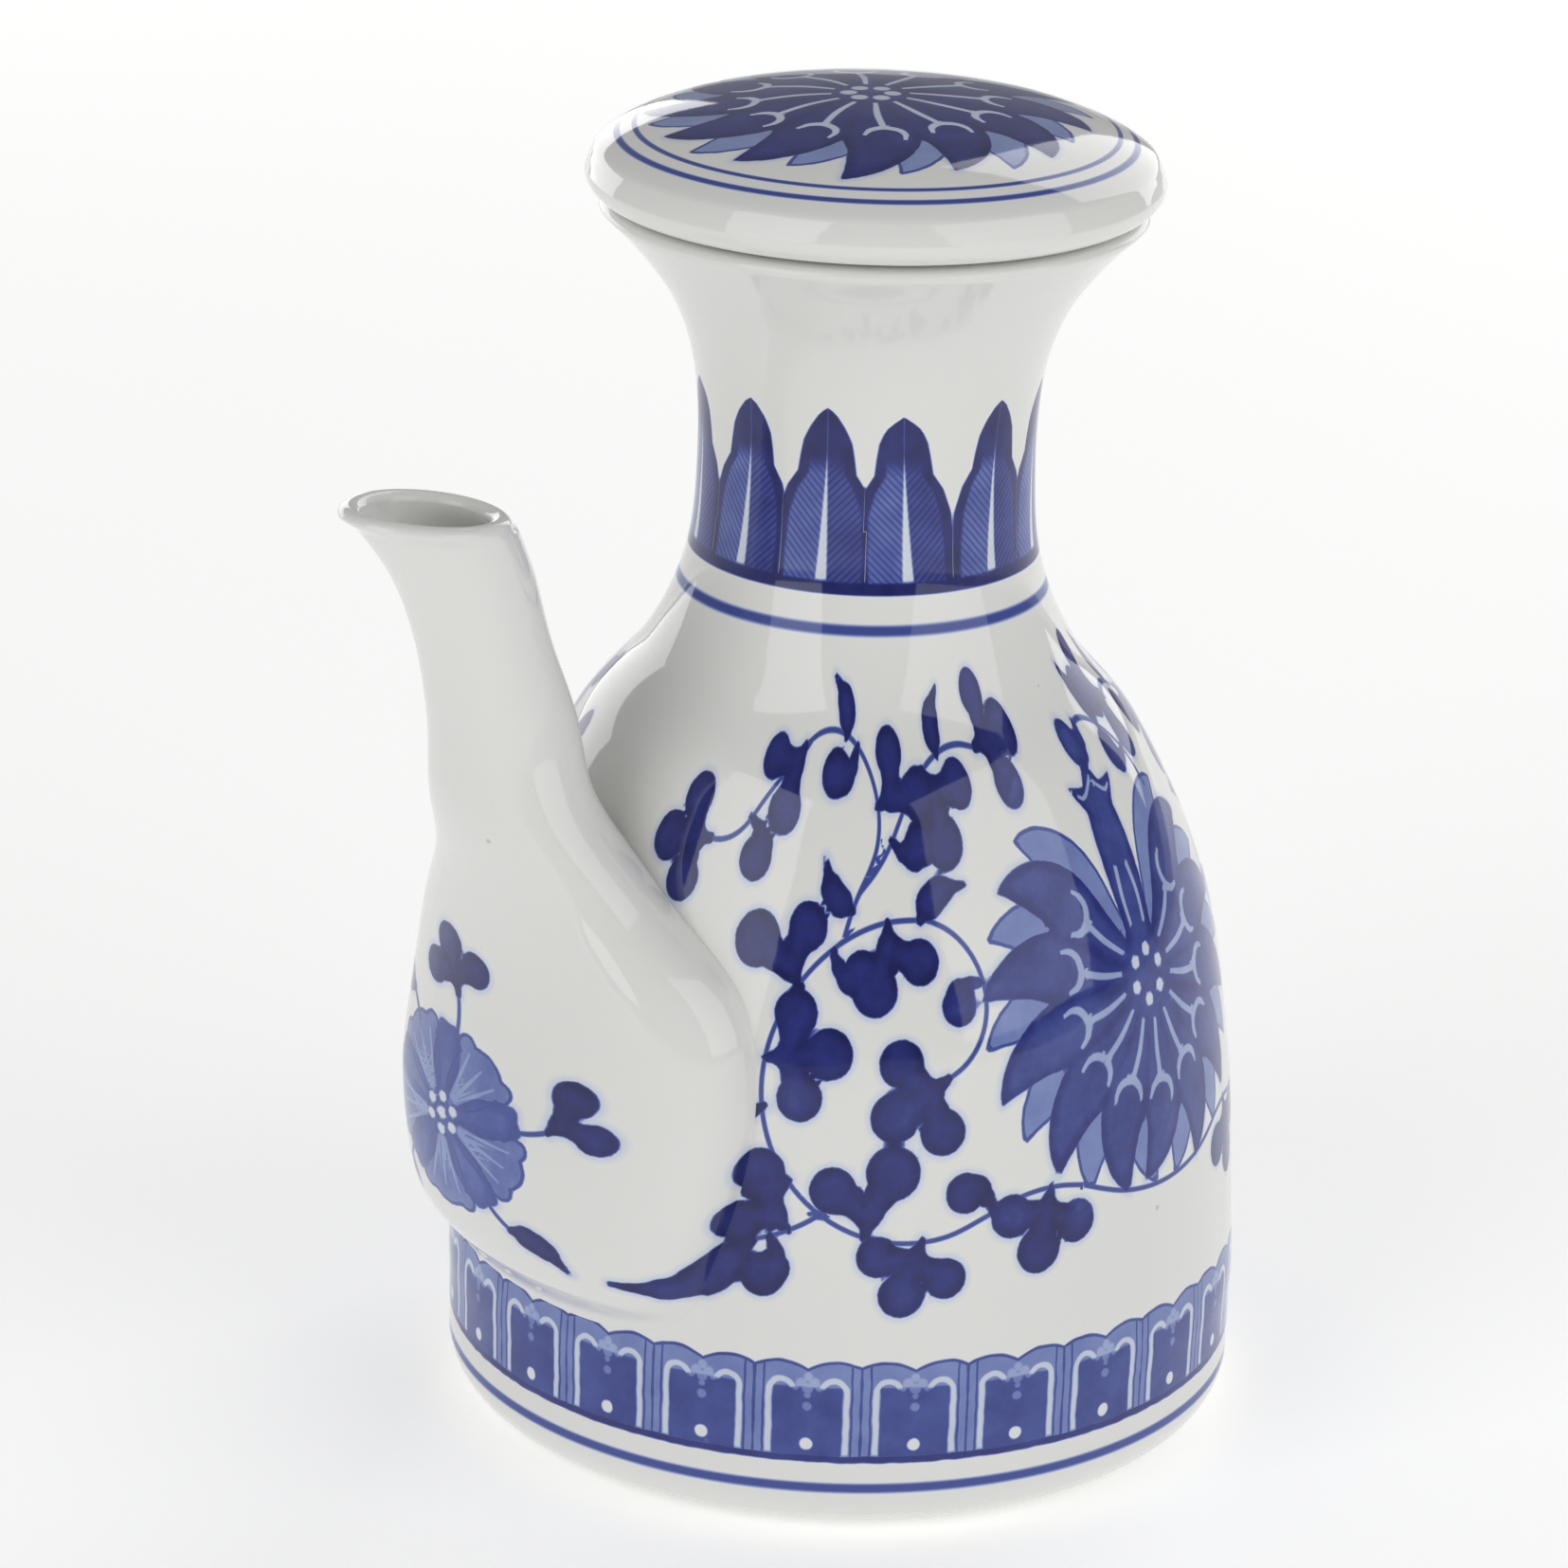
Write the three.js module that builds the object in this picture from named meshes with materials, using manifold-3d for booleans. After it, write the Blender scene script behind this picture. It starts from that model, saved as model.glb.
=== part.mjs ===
// A porcelain sake cruet: a slip-cast bottle with a flared mouth, a separately cast pouring spout luted to
// its side, and a drop-on lid whose locating ring stands inside the mouth.
// Millimetres, +Z up. The spout points along -X. The origin is the bottom centre of the whole footprint, so
// the bottle's own axis stands at x = axisX.
import * as THREE from "three";
import { mergeVertices } from "three/addons/utils/BufferGeometryUtils.js";
import Module from "manifold-3d";

// Driving dimensions of the bottle.
const barrelRadius = 41.6; // outer radius of the barrel
const barrelHeight = 18; // height up to which the barrel is straight
const footInset = 6; // how far the flat ring that the bottle stands on lies inside the barrel
const footCorner = 5.3; // height of the rounded corner between foot and barrel
const footRingWidth = 5; // width of the flat ring
const footRecess = 2.4; // depth of the hollow inside the foot ring
const floorThickness = 4;
const wall = 3; // thickness of the bottle's wall
const waistRadius = 17.3; // outer radius at the narrowest of the neck
const mouthRadius = 27.8; // outer radius of the flared mouth
const mouthHeight = 129.2; // height of the mouth's rim
const flareHeight = 27.2; // from the narrowest of the neck up to the rim

// Driving dimensions of the spout. Its stand-off is measured outwards from the barrel.
const spoutFoot = 20.3; // height at which the spout's base leaves the barrel
const spoutDrop = 24.6; // how far the middle of the spout's rim lies below the mouth's rim
const spoutRimTilt = 0.11; // rise of the rim per millimetre outwards
const spoutWall = 2.3;
const bulbStandOff = 6; // how far the bulb at the base stands out from the barrel
const bulbHalfWidth = 26;
const bulbHalfDepth = 14;
const throatStandOff = 11.2; // outer face of the narrowest part
const throatRadius = 6.8;
const rimStandOff = 18.9; // outer face at the rim, without the pouring lip
const rimRadius = 8.2;
const pouringLip = 1.2; // how far the lip is drawn out beyond the round rim
const pourHoleRadius = 6; // the hole through the bottle's wall behind the bulb
const pourHoleHeight = 39;

// Driving dimensions of the lid.
const lidOverhang = 1.5; // how far the lid reaches out past the mouth
const lidEdge = 2.4; // height of the widest point above the lid's underside
const lidRise = 10.5; // height of the crown above the underside
const lidThickness = 4.6; // thickness at the crown, over the hollow
const ringDepth = 8; // how far the locating ring reaches down into the mouth
const ringWall = 2.8;
const ringClearance = 1; // free play between the ring and the inside of the mouth

// Gap between pieces that touch.
const gap = 0.3;

// Fineness of the facets.
const turnSegments = 48;
const sideSteps = 26;
const spoutSegments = 24;
const spoutRings = 20;

const footRadius = barrelRadius - footInset;
const waistHeight = mouthHeight - flareHeight;
const spoutRimHeight = mouthHeight - spoutDrop;
const lidRadius = mouthRadius + lidOverhang;
const spoutReach = barrelRadius + rimStandOff + pouringLip;
const axisX = (spoutReach - barrelRadius) / 2;

const wasm = await Module();
wasm.setup();

const glaze = { roughness: 0.12, metalness: 0 };
const bottleMaterial = new THREE.MeshStandardMaterial({ color: 0xe6e9e4, ...glaze });
const spoutMaterial = new THREE.MeshStandardMaterial({ color: 0xe3e7e3, ...glaze });
const lidMaterial = new THREE.MeshStandardMaterial({ color: 0xe9ebe6, ...glaze });
const ringMaterial = new THREE.MeshStandardMaterial({ color: 0xdedcd2, roughness: 0.6, metalness: 0 });

// A closed geometry as a solid that can be cut: only its positions are kept, with shared points merged.
function solidOf(geometry) {
  const loose = geometry.index ? geometry.toNonIndexed() : geometry.clone();
  loose.deleteAttribute("normal");
  loose.deleteAttribute("uv");
  const merged = mergeVertices(loose, 1e-4);
  return new wasm.Manifold(
    new wasm.Mesh({
      numProp: 3,
      vertProperties: merged.attributes.position.array,
      triVerts: new Uint32Array(merged.index.array),
    }),
  );
}

function geometryOf(solid) {
  const mesh = solid.getMesh();
  return new THREE.BufferGeometry()
    .setAttribute("position", new THREE.BufferAttribute(mesh.vertProperties, 3))
    .setIndex(new THREE.BufferAttribute(mesh.triVerts, 1));
}

function piece(name, geometry, material) {
  geometry.computeVertexNormals();
  const mesh = new THREE.Mesh(geometry, material);
  mesh.name = name;
  mesh.position.x = axisX;
  return mesh;
}

// A solid turned about the Z axis from a profile of (radius, height) points.
function turned(profile) {
  return solidOf(new THREE.LatheGeometry(profile, turnSegments).rotateX(Math.PI / 2));
}

// The bottle's outer side from the top of the foot corner to the mouth, as a smooth curve. Between barrel
// and waist, and between waist and mouth, each point is a share of the change in radius and in height.
function sideCurve() {
  const shoulder = [
    [0.94, 0.25],
    [0.8, 0.47],
    [0.5, 0.66],
    [0.2, 0.77],
    [0.04, 0.88],
  ];
  const flare = [
    [0.05, 0.35],
    [0.25, 0.6],
    [0.6, 0.8],
  ];
  const points = [
    new THREE.Vector2(barrelRadius, footCorner),
    new THREE.Vector2(barrelRadius, (footCorner + barrelHeight) / 2),
    new THREE.Vector2(barrelRadius, barrelHeight),
  ];
  for (const [out, up] of shoulder) {
    points.push(
      new THREE.Vector2(
        waistRadius + out * (barrelRadius - waistRadius),
        barrelHeight + up * (waistHeight - barrelHeight),
      ),
    );
  }
  points.push(new THREE.Vector2(waistRadius, waistHeight));
  for (const [out, up] of flare) {
    points.push(
      new THREE.Vector2(
        waistRadius + out * (mouthRadius - waistRadius),
        waistHeight + up * (mouthHeight - waistHeight),
      ),
    );
  }
  points.push(new THREE.Vector2(mouthRadius, mouthHeight - wall / 3));
  return new THREE.SplineCurve(points);
}

// The outer side as points, with the foot's rounded corner, a quarter ellipse, below it.
function outerSide() {
  const corner = new THREE.EllipseCurve(
    footRadius, footCorner, barrelRadius - footRadius, footCorner, -Math.PI / 2, 0,
  );
  return [...corner.getPoints(5), ...sideCurve().getPoints(sideSteps).slice(1)];
}

// The inner side: every point of the smooth curve above the floor moved inwards by the wall.
function innerSide() {
  const curve = sideCurve();
  const floorLevel = footRecess + floorThickness;
  const points = [];
  for (let i = 0; i <= sideSteps; i++) {
    const point = curve.getPoint(i / sideSteps);
    const along = curve.getTangent(i / sideSteps);
    points.push(new THREE.Vector2(point.x - wall * along.y, point.y + wall * along.x));
  }
  return points.filter((p) => p.y > floorLevel + wall && p.y < mouthHeight);
}

// The radius of the inside of the bottle at a height.
function innerRadiusAt(height) {
  const points = innerSide();
  const above = points.findIndex((p) => p.y >= height);
  const low = points[above - 1];
  const high = points[above];
  return THREE.MathUtils.mapLinear(height, low.y, high.y, low.x, high.x);
}

// The bottle without its hollow, grown by the gap: the spout is cut back to this.
function bottleEnvelope() {
  const side = outerSide().map((p) => new THREE.Vector2(p.x + gap, p.y));
  const rim = new THREE.Vector2(mouthRadius + gap, mouthHeight);
  return turned([new THREE.Vector2(0, 0), ...side, rim, new THREE.Vector2(0, mouthHeight)]);
}

function bottleBody() {
  const floorLevel = footRecess + floorThickness;
  const inside = innerSide();
  const lip = new THREE.Vector2(inside.at(-1).x + wall / 3, mouthHeight);
  const lipOuter = new THREE.Vector2(mouthRadius - wall / 3, mouthHeight);
  const profile = [
    new THREE.Vector2(0, footRecess),
    new THREE.Vector2(footRadius - footRingWidth, footRecess),
    new THREE.Vector2(footRadius - footRingWidth, 0),
    ...outerSide(),
    lipOuter,
    lip,
    ...inside.reverse(),
    new THREE.Vector2(inside.at(-1).x - wall, floorLevel),
    new THREE.Vector2(0, floorLevel),
  ];
  const pourHole = new THREE.CylinderGeometry(pourHoleRadius, pourHoleRadius, barrelRadius, turnSegments / 2);
  pourHole.rotateZ(Math.PI / 2);
  pourHole.translate(-barrelRadius, 0, pourHoleHeight);
  return piece("bottle_body", geometryOf(turned(profile).subtract(solidOf(pourHole))), bottleMaterial);
}

// The spout's sections from root to rim. Each holds its share of the rise from foot to rim, the stand-off
// of its outer face, and its half width and half depth; the root is buried in the bottle.
function spoutSections(inset) {
  const table = [
    [-0.05, -4, 0.8 * bulbHalfWidth, 0.7 * bulbHalfDepth],
    [0.0, 0, 0.8 * bulbHalfWidth, 0.7 * bulbHalfDepth],
    [0.07, 0.8 * bulbStandOff, 0.9 * bulbHalfWidth, 0.85 * bulbHalfDepth],
    [0.2, bulbStandOff, bulbHalfWidth, bulbHalfDepth],
    [0.32, 0.8 * bulbStandOff, bulbHalfWidth, bulbHalfDepth],
    [0.43, 0.7 * bulbStandOff, 0.9 * bulbHalfWidth, 0.9 * bulbHalfDepth],
    [0.53, 0.9 * bulbStandOff, 0.6 * bulbHalfWidth, 0.65 * bulbHalfDepth],
    [0.63, 0.75 * throatStandOff, 1.45 * throatRadius, 1.15 * throatRadius],
    [0.73, 0.85 * throatStandOff, 1.1 * throatRadius, 1.1 * throatRadius],
    [0.83, throatStandOff, throatRadius, throatRadius],
    [0.92, 0.5 * (throatStandOff + rimStandOff) - 1, 1.05 * throatRadius, 1.05 * throatRadius],
    [1.0, rimStandOff, rimRadius, rimRadius],
  ];
  return table.map(
    ([share, standOff, halfWidth, halfDepth]) =>
      new THREE.Vector4(
        spoutFoot + share * (spoutRimHeight - spoutFoot),
        barrelRadius + standOff - inset,
        halfWidth - inset,
        halfDepth - inset,
      ),
  );
}

// A smooth column of value i of the sections, read at a share of the way from the first to the last.
function columnAt(sections, read, share) {
  const place = share * (sections.length - 1);
  const i = Math.min(Math.floor(place), sections.length - 2);
  const t = place - i;
  const before = read(sections[Math.max(i - 1, 0)]);
  const from = read(sections[i]);
  const to = read(sections[i + 1]);
  const after = read(sections[Math.min(i + 2, sections.length - 1)]);
  const slopeFrom = (to - before) / 2;
  const slopeTo = (after - from) / 2;
  return (
    from * (2 * t ** 3 - 3 * t ** 2 + 1) +
    slopeFrom * (t ** 3 - 2 * t ** 2 + t) +
    to * (3 * t ** 2 - 2 * t ** 3) +
    slopeTo * (t ** 3 - t ** 2)
  );
}

// A unit cylinder whose rings are moved onto the spout's sections. The inset makes the bore, which runs on
// past the rim by the given overrun.
function spoutLoft(inset, overrun) {
  const sections = spoutSections(inset);
  const form = new THREE.CylinderGeometry(1, 1, 1, spoutSegments, spoutRings).rotateX(Math.PI / 2);
  const place = form.getAttribute("position");
  for (let i = 0; i < place.count; i++) {
    const share = place.getZ(i) + 0.5;
    const height = columnAt(sections, (s) => s.x, share);
    const reach = columnAt(sections, (s) => s.y, share);
    const halfWidth = columnAt(sections, (s) => s.z, share);
    const halfDepth = columnAt(sections, (s) => s.w, share);
    const nearRim = Math.max(0, (share - 0.8) / 0.2) ** 2;
    const out = -place.getX(i);
    const lip = inset > 0 ? 0 : pouringLip * nearRim * Math.max(0, out) ** 3;
    const x = reach - halfDepth + halfDepth * out + lip;
    const rimMiddle = barrelRadius + rimStandOff - rimRadius;
    const tilt = nearRim * spoutRimTilt * (x - rimMiddle);
    place.setXYZ(i, -x, place.getY(i) * halfWidth, height + tilt + overrun * nearRim);
  }
  return solidOf(form);
}

function spout() {
  const shell = spoutLoft(0, 0).subtract(spoutLoft(spoutWall, 1));
  return piece("spout", geometryOf(shell.subtract(bottleEnvelope())), spoutMaterial);
}

const ringRadius = innerRadiusAt(mouthHeight - ringDepth) - ringClearance;

// The cap: a rounded edge that overhangs the mouth, a shallow dome above, and a hollow underneath.
function lidCap() {
  const base = mouthHeight + gap;
  const edge = new THREE.EllipseCurve(lidRadius - lidEdge, base + lidEdge, lidEdge, lidEdge, -Math.PI / 2, 0);
  const crown = new THREE.SplineCurve(
    [
      [1, lidEdge / lidRise],
      [0.98, 0.37],
      [0.95, 0.48],
      [0.85, 0.63],
      [0.7, 0.77],
      [0.5, 0.88],
      [0.25, 0.97],
      [0, 1],
    ].map(([out, up]) => new THREE.Vector2(out * lidRadius, base + up * lidRise)),
  );
  const hollowRadius = ringRadius - ringWall;
  const hollowTop = base + lidRise - lidThickness;
  const hollow = new THREE.EllipseCurve(0, base + 1, hollowRadius, hollowTop - base - 1, Math.PI / 2, 0, true);
  const hollowPoints = hollow.getPoints(6);
  const profile = [
    ...hollowPoints,
    new THREE.Vector2(hollowRadius, base),
    ...edge.getPoints(5),
    ...crown.getPoints(16).slice(1),
  ];
  return piece("lid_cap", geometryOf(turned(profile)), lidMaterial);
}

// The locating ring under the cap.
function lidRing() {
  const top = mouthHeight;
  const bottom = mouthHeight - ringDepth;
  const inner = ringRadius - ringWall;
  const chamfer = ringWall / 4;
  const profile = [
    new THREE.Vector2(inner, top),
    new THREE.Vector2(inner, bottom),
    new THREE.Vector2(ringRadius - chamfer, bottom),
    new THREE.Vector2(ringRadius, bottom + chamfer),
    new THREE.Vector2(ringRadius, top),
    new THREE.Vector2(inner, top),
  ];
  return piece("lid_ring", geometryOf(turned(profile)), ringMaterial);
}

const cruet = new THREE.Group();
cruet.add(bottleBody(), spout(), lidCap(), lidRing());

export default cruet;
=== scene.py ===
import math

import bpy
import numpy as np
from mathutils import Matrix, Vector


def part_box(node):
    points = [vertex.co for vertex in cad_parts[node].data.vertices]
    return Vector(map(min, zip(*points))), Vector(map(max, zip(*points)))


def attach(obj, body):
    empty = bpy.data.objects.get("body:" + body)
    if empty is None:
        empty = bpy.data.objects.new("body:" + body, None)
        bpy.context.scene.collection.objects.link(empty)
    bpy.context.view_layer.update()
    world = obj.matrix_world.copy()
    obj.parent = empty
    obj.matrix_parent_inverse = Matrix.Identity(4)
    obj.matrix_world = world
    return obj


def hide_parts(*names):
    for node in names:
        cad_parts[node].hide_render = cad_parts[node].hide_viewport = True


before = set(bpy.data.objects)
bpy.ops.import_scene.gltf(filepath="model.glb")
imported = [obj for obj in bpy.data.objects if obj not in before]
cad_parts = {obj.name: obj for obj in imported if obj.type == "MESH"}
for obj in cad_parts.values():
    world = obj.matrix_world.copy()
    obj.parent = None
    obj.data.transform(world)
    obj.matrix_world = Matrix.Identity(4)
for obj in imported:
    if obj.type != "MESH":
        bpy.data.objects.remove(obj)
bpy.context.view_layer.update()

mm = 0.001
far = 9.0  # a gap, in millimetres, that counts as nowhere near
bottleLow, bottleHigh = (np.array(corner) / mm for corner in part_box("bottle_body"))
capLow, capHigh = (np.array(corner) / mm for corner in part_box("lid_cap"))
ringLow, ringHigh = (np.array(corner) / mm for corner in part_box("lid_ring"))
axisX = (bottleLow[0] + bottleHigh[0]) / 2  # the bottle's own axis, in millimetres
print("frame loaded, axis at", round(axisX, 2), "mm")


def smoothThrough(points, where):
    # A smooth line through points, read at places 0 to count-1. Between two points it is the cubic
    # whose slope at each is half the step between that point's neighbours.
    points = np.asarray(points, float)
    last = len(points) - 1
    where = np.clip(np.asarray(where, float), 0, last)
    at = np.minimum(where.astype(int), max(last - 1, 0))
    share = (where - at)[:, None]
    before, start, end, after = (points[np.clip(at + k, 0, last)] for k in (-1, 0, 1, 2))
    slopeIn, slopeOut = (end - before) / 2, (after - start) / 2
    cubic = 2 * start - 2 * end + slopeIn + slopeOut
    square = 3 * end - 3 * start - 2 * slopeIn - slopeOut
    return ((cubic * share + square) * share + slopeIn) * share + start


def lengthsAlong(line):
    # How far along the line each of its points lies.
    return np.r_[0, np.cumsum(np.hypot(*np.diff(line[:, :2], axis=0).T))]


def evenly(line, step):
    # The same line with its points an even step apart: every column is read at equal lengths along it.
    along = lengthsAlong(line)
    at = np.linspace(0, along[-1], max(2, int(math.ceil(along[-1] / step)) + 1))
    return np.stack([np.interp(at, along, column) for column in line.T], 1)


def arc(middle, radii, fromDegrees, toDegrees, count):
    # Part of an ellipse: middle plus (radius out times cosine, radius up times sine) of an even turn.
    turn = np.radians(np.linspace(fromDegrees, toDegrees, count))
    return np.stack([middle[0] + radii[0] * np.cos(turn), middle[1] + radii[1] * np.sin(turn)], 1)


def ringsOf(outline, columns):
    # A turned surface: each outline point (radius, height) goes once round the axis in equal steps.
    turn = np.linspace(0, 2 * math.pi, columns, endpoint=False)
    radius, height = outline[:, 0, None], outline[:, 1, None]
    return np.stack([axisX + radius * np.cos(turn), radius * np.sin(turn), height + 0 * turn], -1)


def skin(name, rings, firstPole=None, lastPole=None):
    # A grid of rings joined by quads, each ring closed on itself. A pole closes an end with a fan;
    # without poles the last ring joins the first.
    rows, columns = rings.shape[:2]
    points = rings.reshape(-1, 3)
    here = np.arange(columns)
    beside = np.roll(here, -1)
    lower = np.arange(rows if firstPole is None else rows - 1) * columns
    upper = np.roll(np.arange(rows), -1)[: len(lower)] * columns
    quads = np.stack(
        [lower[:, None] + here, lower[:, None] + beside, upper[:, None] + beside, upper[:, None] + here], -1
    ).reshape(-1, 4)
    loops, sizes = [quads.ravel()], [np.full(len(quads), 4)]
    if firstPole is not None:
        pole = len(points)
        points = np.vstack([points, firstPole, lastPole])
        top = (rows - 1) * columns
        fans = np.vstack([
            np.stack([np.full(columns, pole), beside, here], 1),
            np.stack([top + here, top + beside, np.full(columns, pole + 1)], 1),
        ])
        loops.append(fans.ravel())
        sizes.append(np.full(len(fans), 3))
    loops, sizes = np.concatenate(loops), np.concatenate(sizes)
    mesh = bpy.data.meshes.new(name)
    mesh.vertices.add(len(points))
    mesh.vertices.foreach_set("co", (points * mm).astype(np.float32).ravel())
    mesh.loops.add(len(loops))
    mesh.loops.foreach_set("vertex_index", loops.astype(np.int32))
    mesh.polygons.add(len(sizes))
    mesh.polygons.foreach_set("loop_start", np.r_[0, np.cumsum(sizes)[:-1]].astype(np.int32))
    mesh.polygons.foreach_set("loop_total", sizes.astype(np.int32))
    mesh.update(calc_edges=True)
    mesh.validate()
    mesh.shade_smooth()
    piece = bpy.data.objects.new(name, mesh)
    bpy.context.scene.collection.objects.link(piece)
    print(name, "has", len(points), "points")
    return piece, points


def keepOnPiece(piece, values):
    # Each named array becomes an attribute of the piece's points, which its material reads.
    for name, array in values.items():
        held = piece.data.attributes.new(name, "FLOAT", "POINT")
        held.data.foreach_set("value", np.asarray(array, np.float32))


# Painting is done flat: across in millimetres on the barrel, up in millimetres. A brush stroke is a
# row of (across, up, half width); what is kept at each point is its distance to the nearest stroke.

def nearby(plane, line, shift, margin):
    reach = line[:, 2:3] + margin
    low = (line[:, :2] - reach).min(0) + (shift, 0)
    high = (line[:, :2] + reach).max(0) + (shift, 0)
    return np.flatnonzero(((plane > low) & (plane < high)).all(1))


def strokeLine(stroke, step=0.3, pinch=0.0):
    # The stroke's smooth middle line, finely divided; a stroke of one point is a dot. Between a wide and
    # a narrow point the width is pinched in, so that lobes come out round and necks hollow.
    stroke = np.asarray(stroke, float)
    if len(stroke) == 1:
        return stroke
    where = np.linspace(0, len(stroke) - 1, 24 * len(stroke))
    line = smoothThrough(stroke, where)
    start = np.minimum(where.astype(int), len(stroke) - 2)
    share = where - start
    change = np.abs(np.diff(stroke[:, 2])) / np.maximum(stroke[1:, 2], stroke[:-1, 2])
    line[:, 2] *= 1 - pinch * change[start] * 4 * share * (1 - share)
    line = evenly(line, step)
    line[:, 2] = np.maximum(line[:, 2], 0.04)
    return line


def brushGap(plane, strokes, around=0, soften=0.3, pinch=0.0):
    # Distance to the paint's edge, below zero inside it: the least of (distance to a disc's middle less
    # its radius) over the discs along each stroke; strokes that meet flow together over the soften width.
    gap = np.full(len(plane), far)
    for stroke in strokes:
        line = strokeLine(stroke, pinch=pinch)
        for shift in ((-around, 0, around) if around else (0,)):
            near = nearby(plane, line, shift, 3.0)
            if not len(near):
                continue
            away = np.hypot(
                plane[near, None, 0] - line[None, :, 0] - shift, plane[near, None, 1] - line[None, :, 1]
            )
            own = (away - line[None, :, 2]).min(1)
            blend = np.clip(0.5 + 0.5 * (gap[near] - own) / soften, 0, 1)
            gap[near] = gap[near] * (1 - blend) + own * blend - soften * blend * (1 - blend)
    return gap


def lineOffsets(plane, strokes, around=0):
    # For fine lines: the sideways distance from the nearest line as a share of its half width, signed by
    # the side, which stays straight across a line; and the plain distance in millimetres beyond its edge.
    side, beyond = np.full(len(plane), far), np.full(len(plane), far)
    for stroke in strokes:
        line = strokeLine(stroke)
        heading = np.gradient(line[:, :2], axis=0)
        heading /= np.linalg.norm(heading, axis=1, keepdims=True)
        for shift in ((-around, 0, around) if around else (0,)):
            near = nearby(plane, line, shift, 2.5)
            if not len(near):
                continue
            apart = plane[near, None, :] - line[None, :, :2] - (shift, 0)
            distance = np.hypot(apart[..., 0], apart[..., 1])
            closest = distance.argmin(1)
            least = distance[np.arange(len(near)), closest]
            step = apart[np.arange(len(near)), closest]
            turn = heading[closest, 0] * step[:, 1] - heading[closest, 1] * step[:, 0]
            wins = least - line[closest, 2] < beyond[near]
            side[near[wins]] = (turn / line[closest, 2])[wins]
            beyond[near[wins]] = (least - line[closest, 2])[wins]
    return side, beyond


def dotGap(plane, dots, around=0):
    # Round dots: (distance squared less radius squared) over twice the radius, which has no peak.
    gap = np.full(len(plane), far)
    for across, up, radius in dots:
        for shift in ((-around, 0, around) if around else (0,)):
            square = (plane[:, 0] - across - shift) ** 2 + (plane[:, 1] - up) ** 2
            gap = np.minimum(gap, (square - radius**2) / (2 * radius))
    return gap


def moved(strokes, across=0, up=0, mirror=False, scale=1.0):
    # Strokes mirrored if asked, scaled about nothing, then shifted.
    sign = -scale if mirror else scale
    return [[(sign * x + across, scale * y + up, scale * w) for x, y, w in stroke] for stroke in strokes]


def turnedBy(strokes, degrees):
    # Strokes turned about nothing, anticlockwise.
    cosine, sine = math.cos(math.radians(degrees)), math.sin(math.radians(degrees))
    return [[(cosine * x - sine * y, sine * x + cosine * y, w) for x, y, w in stroke] for stroke in strokes]


def petal(angle, reach, wide, sickle):
    # A pointed petal from the middle outwards, its tip swept sideways by the sickle.
    shape = [(0.14, 0, 0.35), (0.36, 0, 0.7), (0.58, -0.1, 1.0), (0.74, 0, 0.84), (0.87, 0.42, 0.56),
             (0.95, 0.85, 0.28), (1.0, 1.25, 0.04)]
    return turnedBy([[(reach * out, sickle * aside, wide * w) for out, aside, w in shape]], angle)[0]


def vein(angle, start, curl, bend, size=2.0):
    # A pale vein straight out from the middle, and the hook at its end: most of a circle that opens
    # outwards, longer on one side.
    middle = curl + size + 0.1
    hook = []
    for turn, wide in ((72, 0.22), (100, 0.34), (135, 0.42), (180, 0.46), (220, 0.4), (252, 0.24)):
        a = math.radians(turn)
        hook.append((middle + size * math.cos(a), bend * size * math.sin(a), wide))
    line = [(start, 0, 0.26), ((start + curl) / 2, -0.2 * bend, 0.36), (curl - 0.3, 0, 0.36)]
    return turnedBy([line, hook], angle)


peony = {"reach": 22.5, "darkPetals": 11, "firstPetal": 142, "spacing": 25.8, "darkWidth": 3.5,
         "lightWidth": 3.3, "dotRing": 2.5, "dot": 0.8}


def chrysanthemum():
    # The big flower in its own plane: dark petals over light ones, evenly spaced round all but the top and
    # a little longer to the sides, hooked veins, a three-toothed crown and six dots.
    dark, light, veins = [], [], []
    for number in range(peony["darkPetals"] + 1):
        angle = peony["firstPetal"] + peony["spacing"] * number
        for petals, turn, wide, sweep in ((dark, 0, peony["darkWidth"], 3.0),
                                          (light, -peony["spacing"] / 2, peony["lightWidth"], 2.6)):
            at = angle + turn
            side = 1 if at < 270 else -1
            reach = peony["reach"] * (0.92 + 0.13 * abs(math.cos(math.radians(at))))
            if petals is light or number < peony["darkPetals"]:
                petals.append(petal(at, reach, wide, sweep * side))
        if number < peony["darkPetals"]:
            veins += vein(angle, 4.9, 10.8, -1 if angle < 270 else 1)
    dark += [[(0, 0, 4.6)], [(0, 4, 2.4), (0, 11, 3.2), (0, 15.5, 3.0), (0, 18.8, 1.4)]]
    for side in (-1, 1):
        dark.append([(side, 16.8, 1.6), (2.8 * side, 17.6, 1.0), (5 * side, 18.8, 0.1)])
        veins.append([(3.6 * side, 17.9, 0.16), (2.4 * side, 17.6, 0.22), (0, 19, 0.22)])
        veins.append([(1.3 * side, 5.4, 0.25), (1.5 * side, 8, 0.3), (1.2 * side, 10.5, 0.35)])
    dots = [(peony["dotRing"] * math.cos(a), peony["dotRing"] * math.sin(a), peony["dot"])
            for a in np.radians(np.arange(6) * 60 + 20)]
    return {"dark": dark, "light": light, "veins": veins, "dots": dots}


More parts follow.
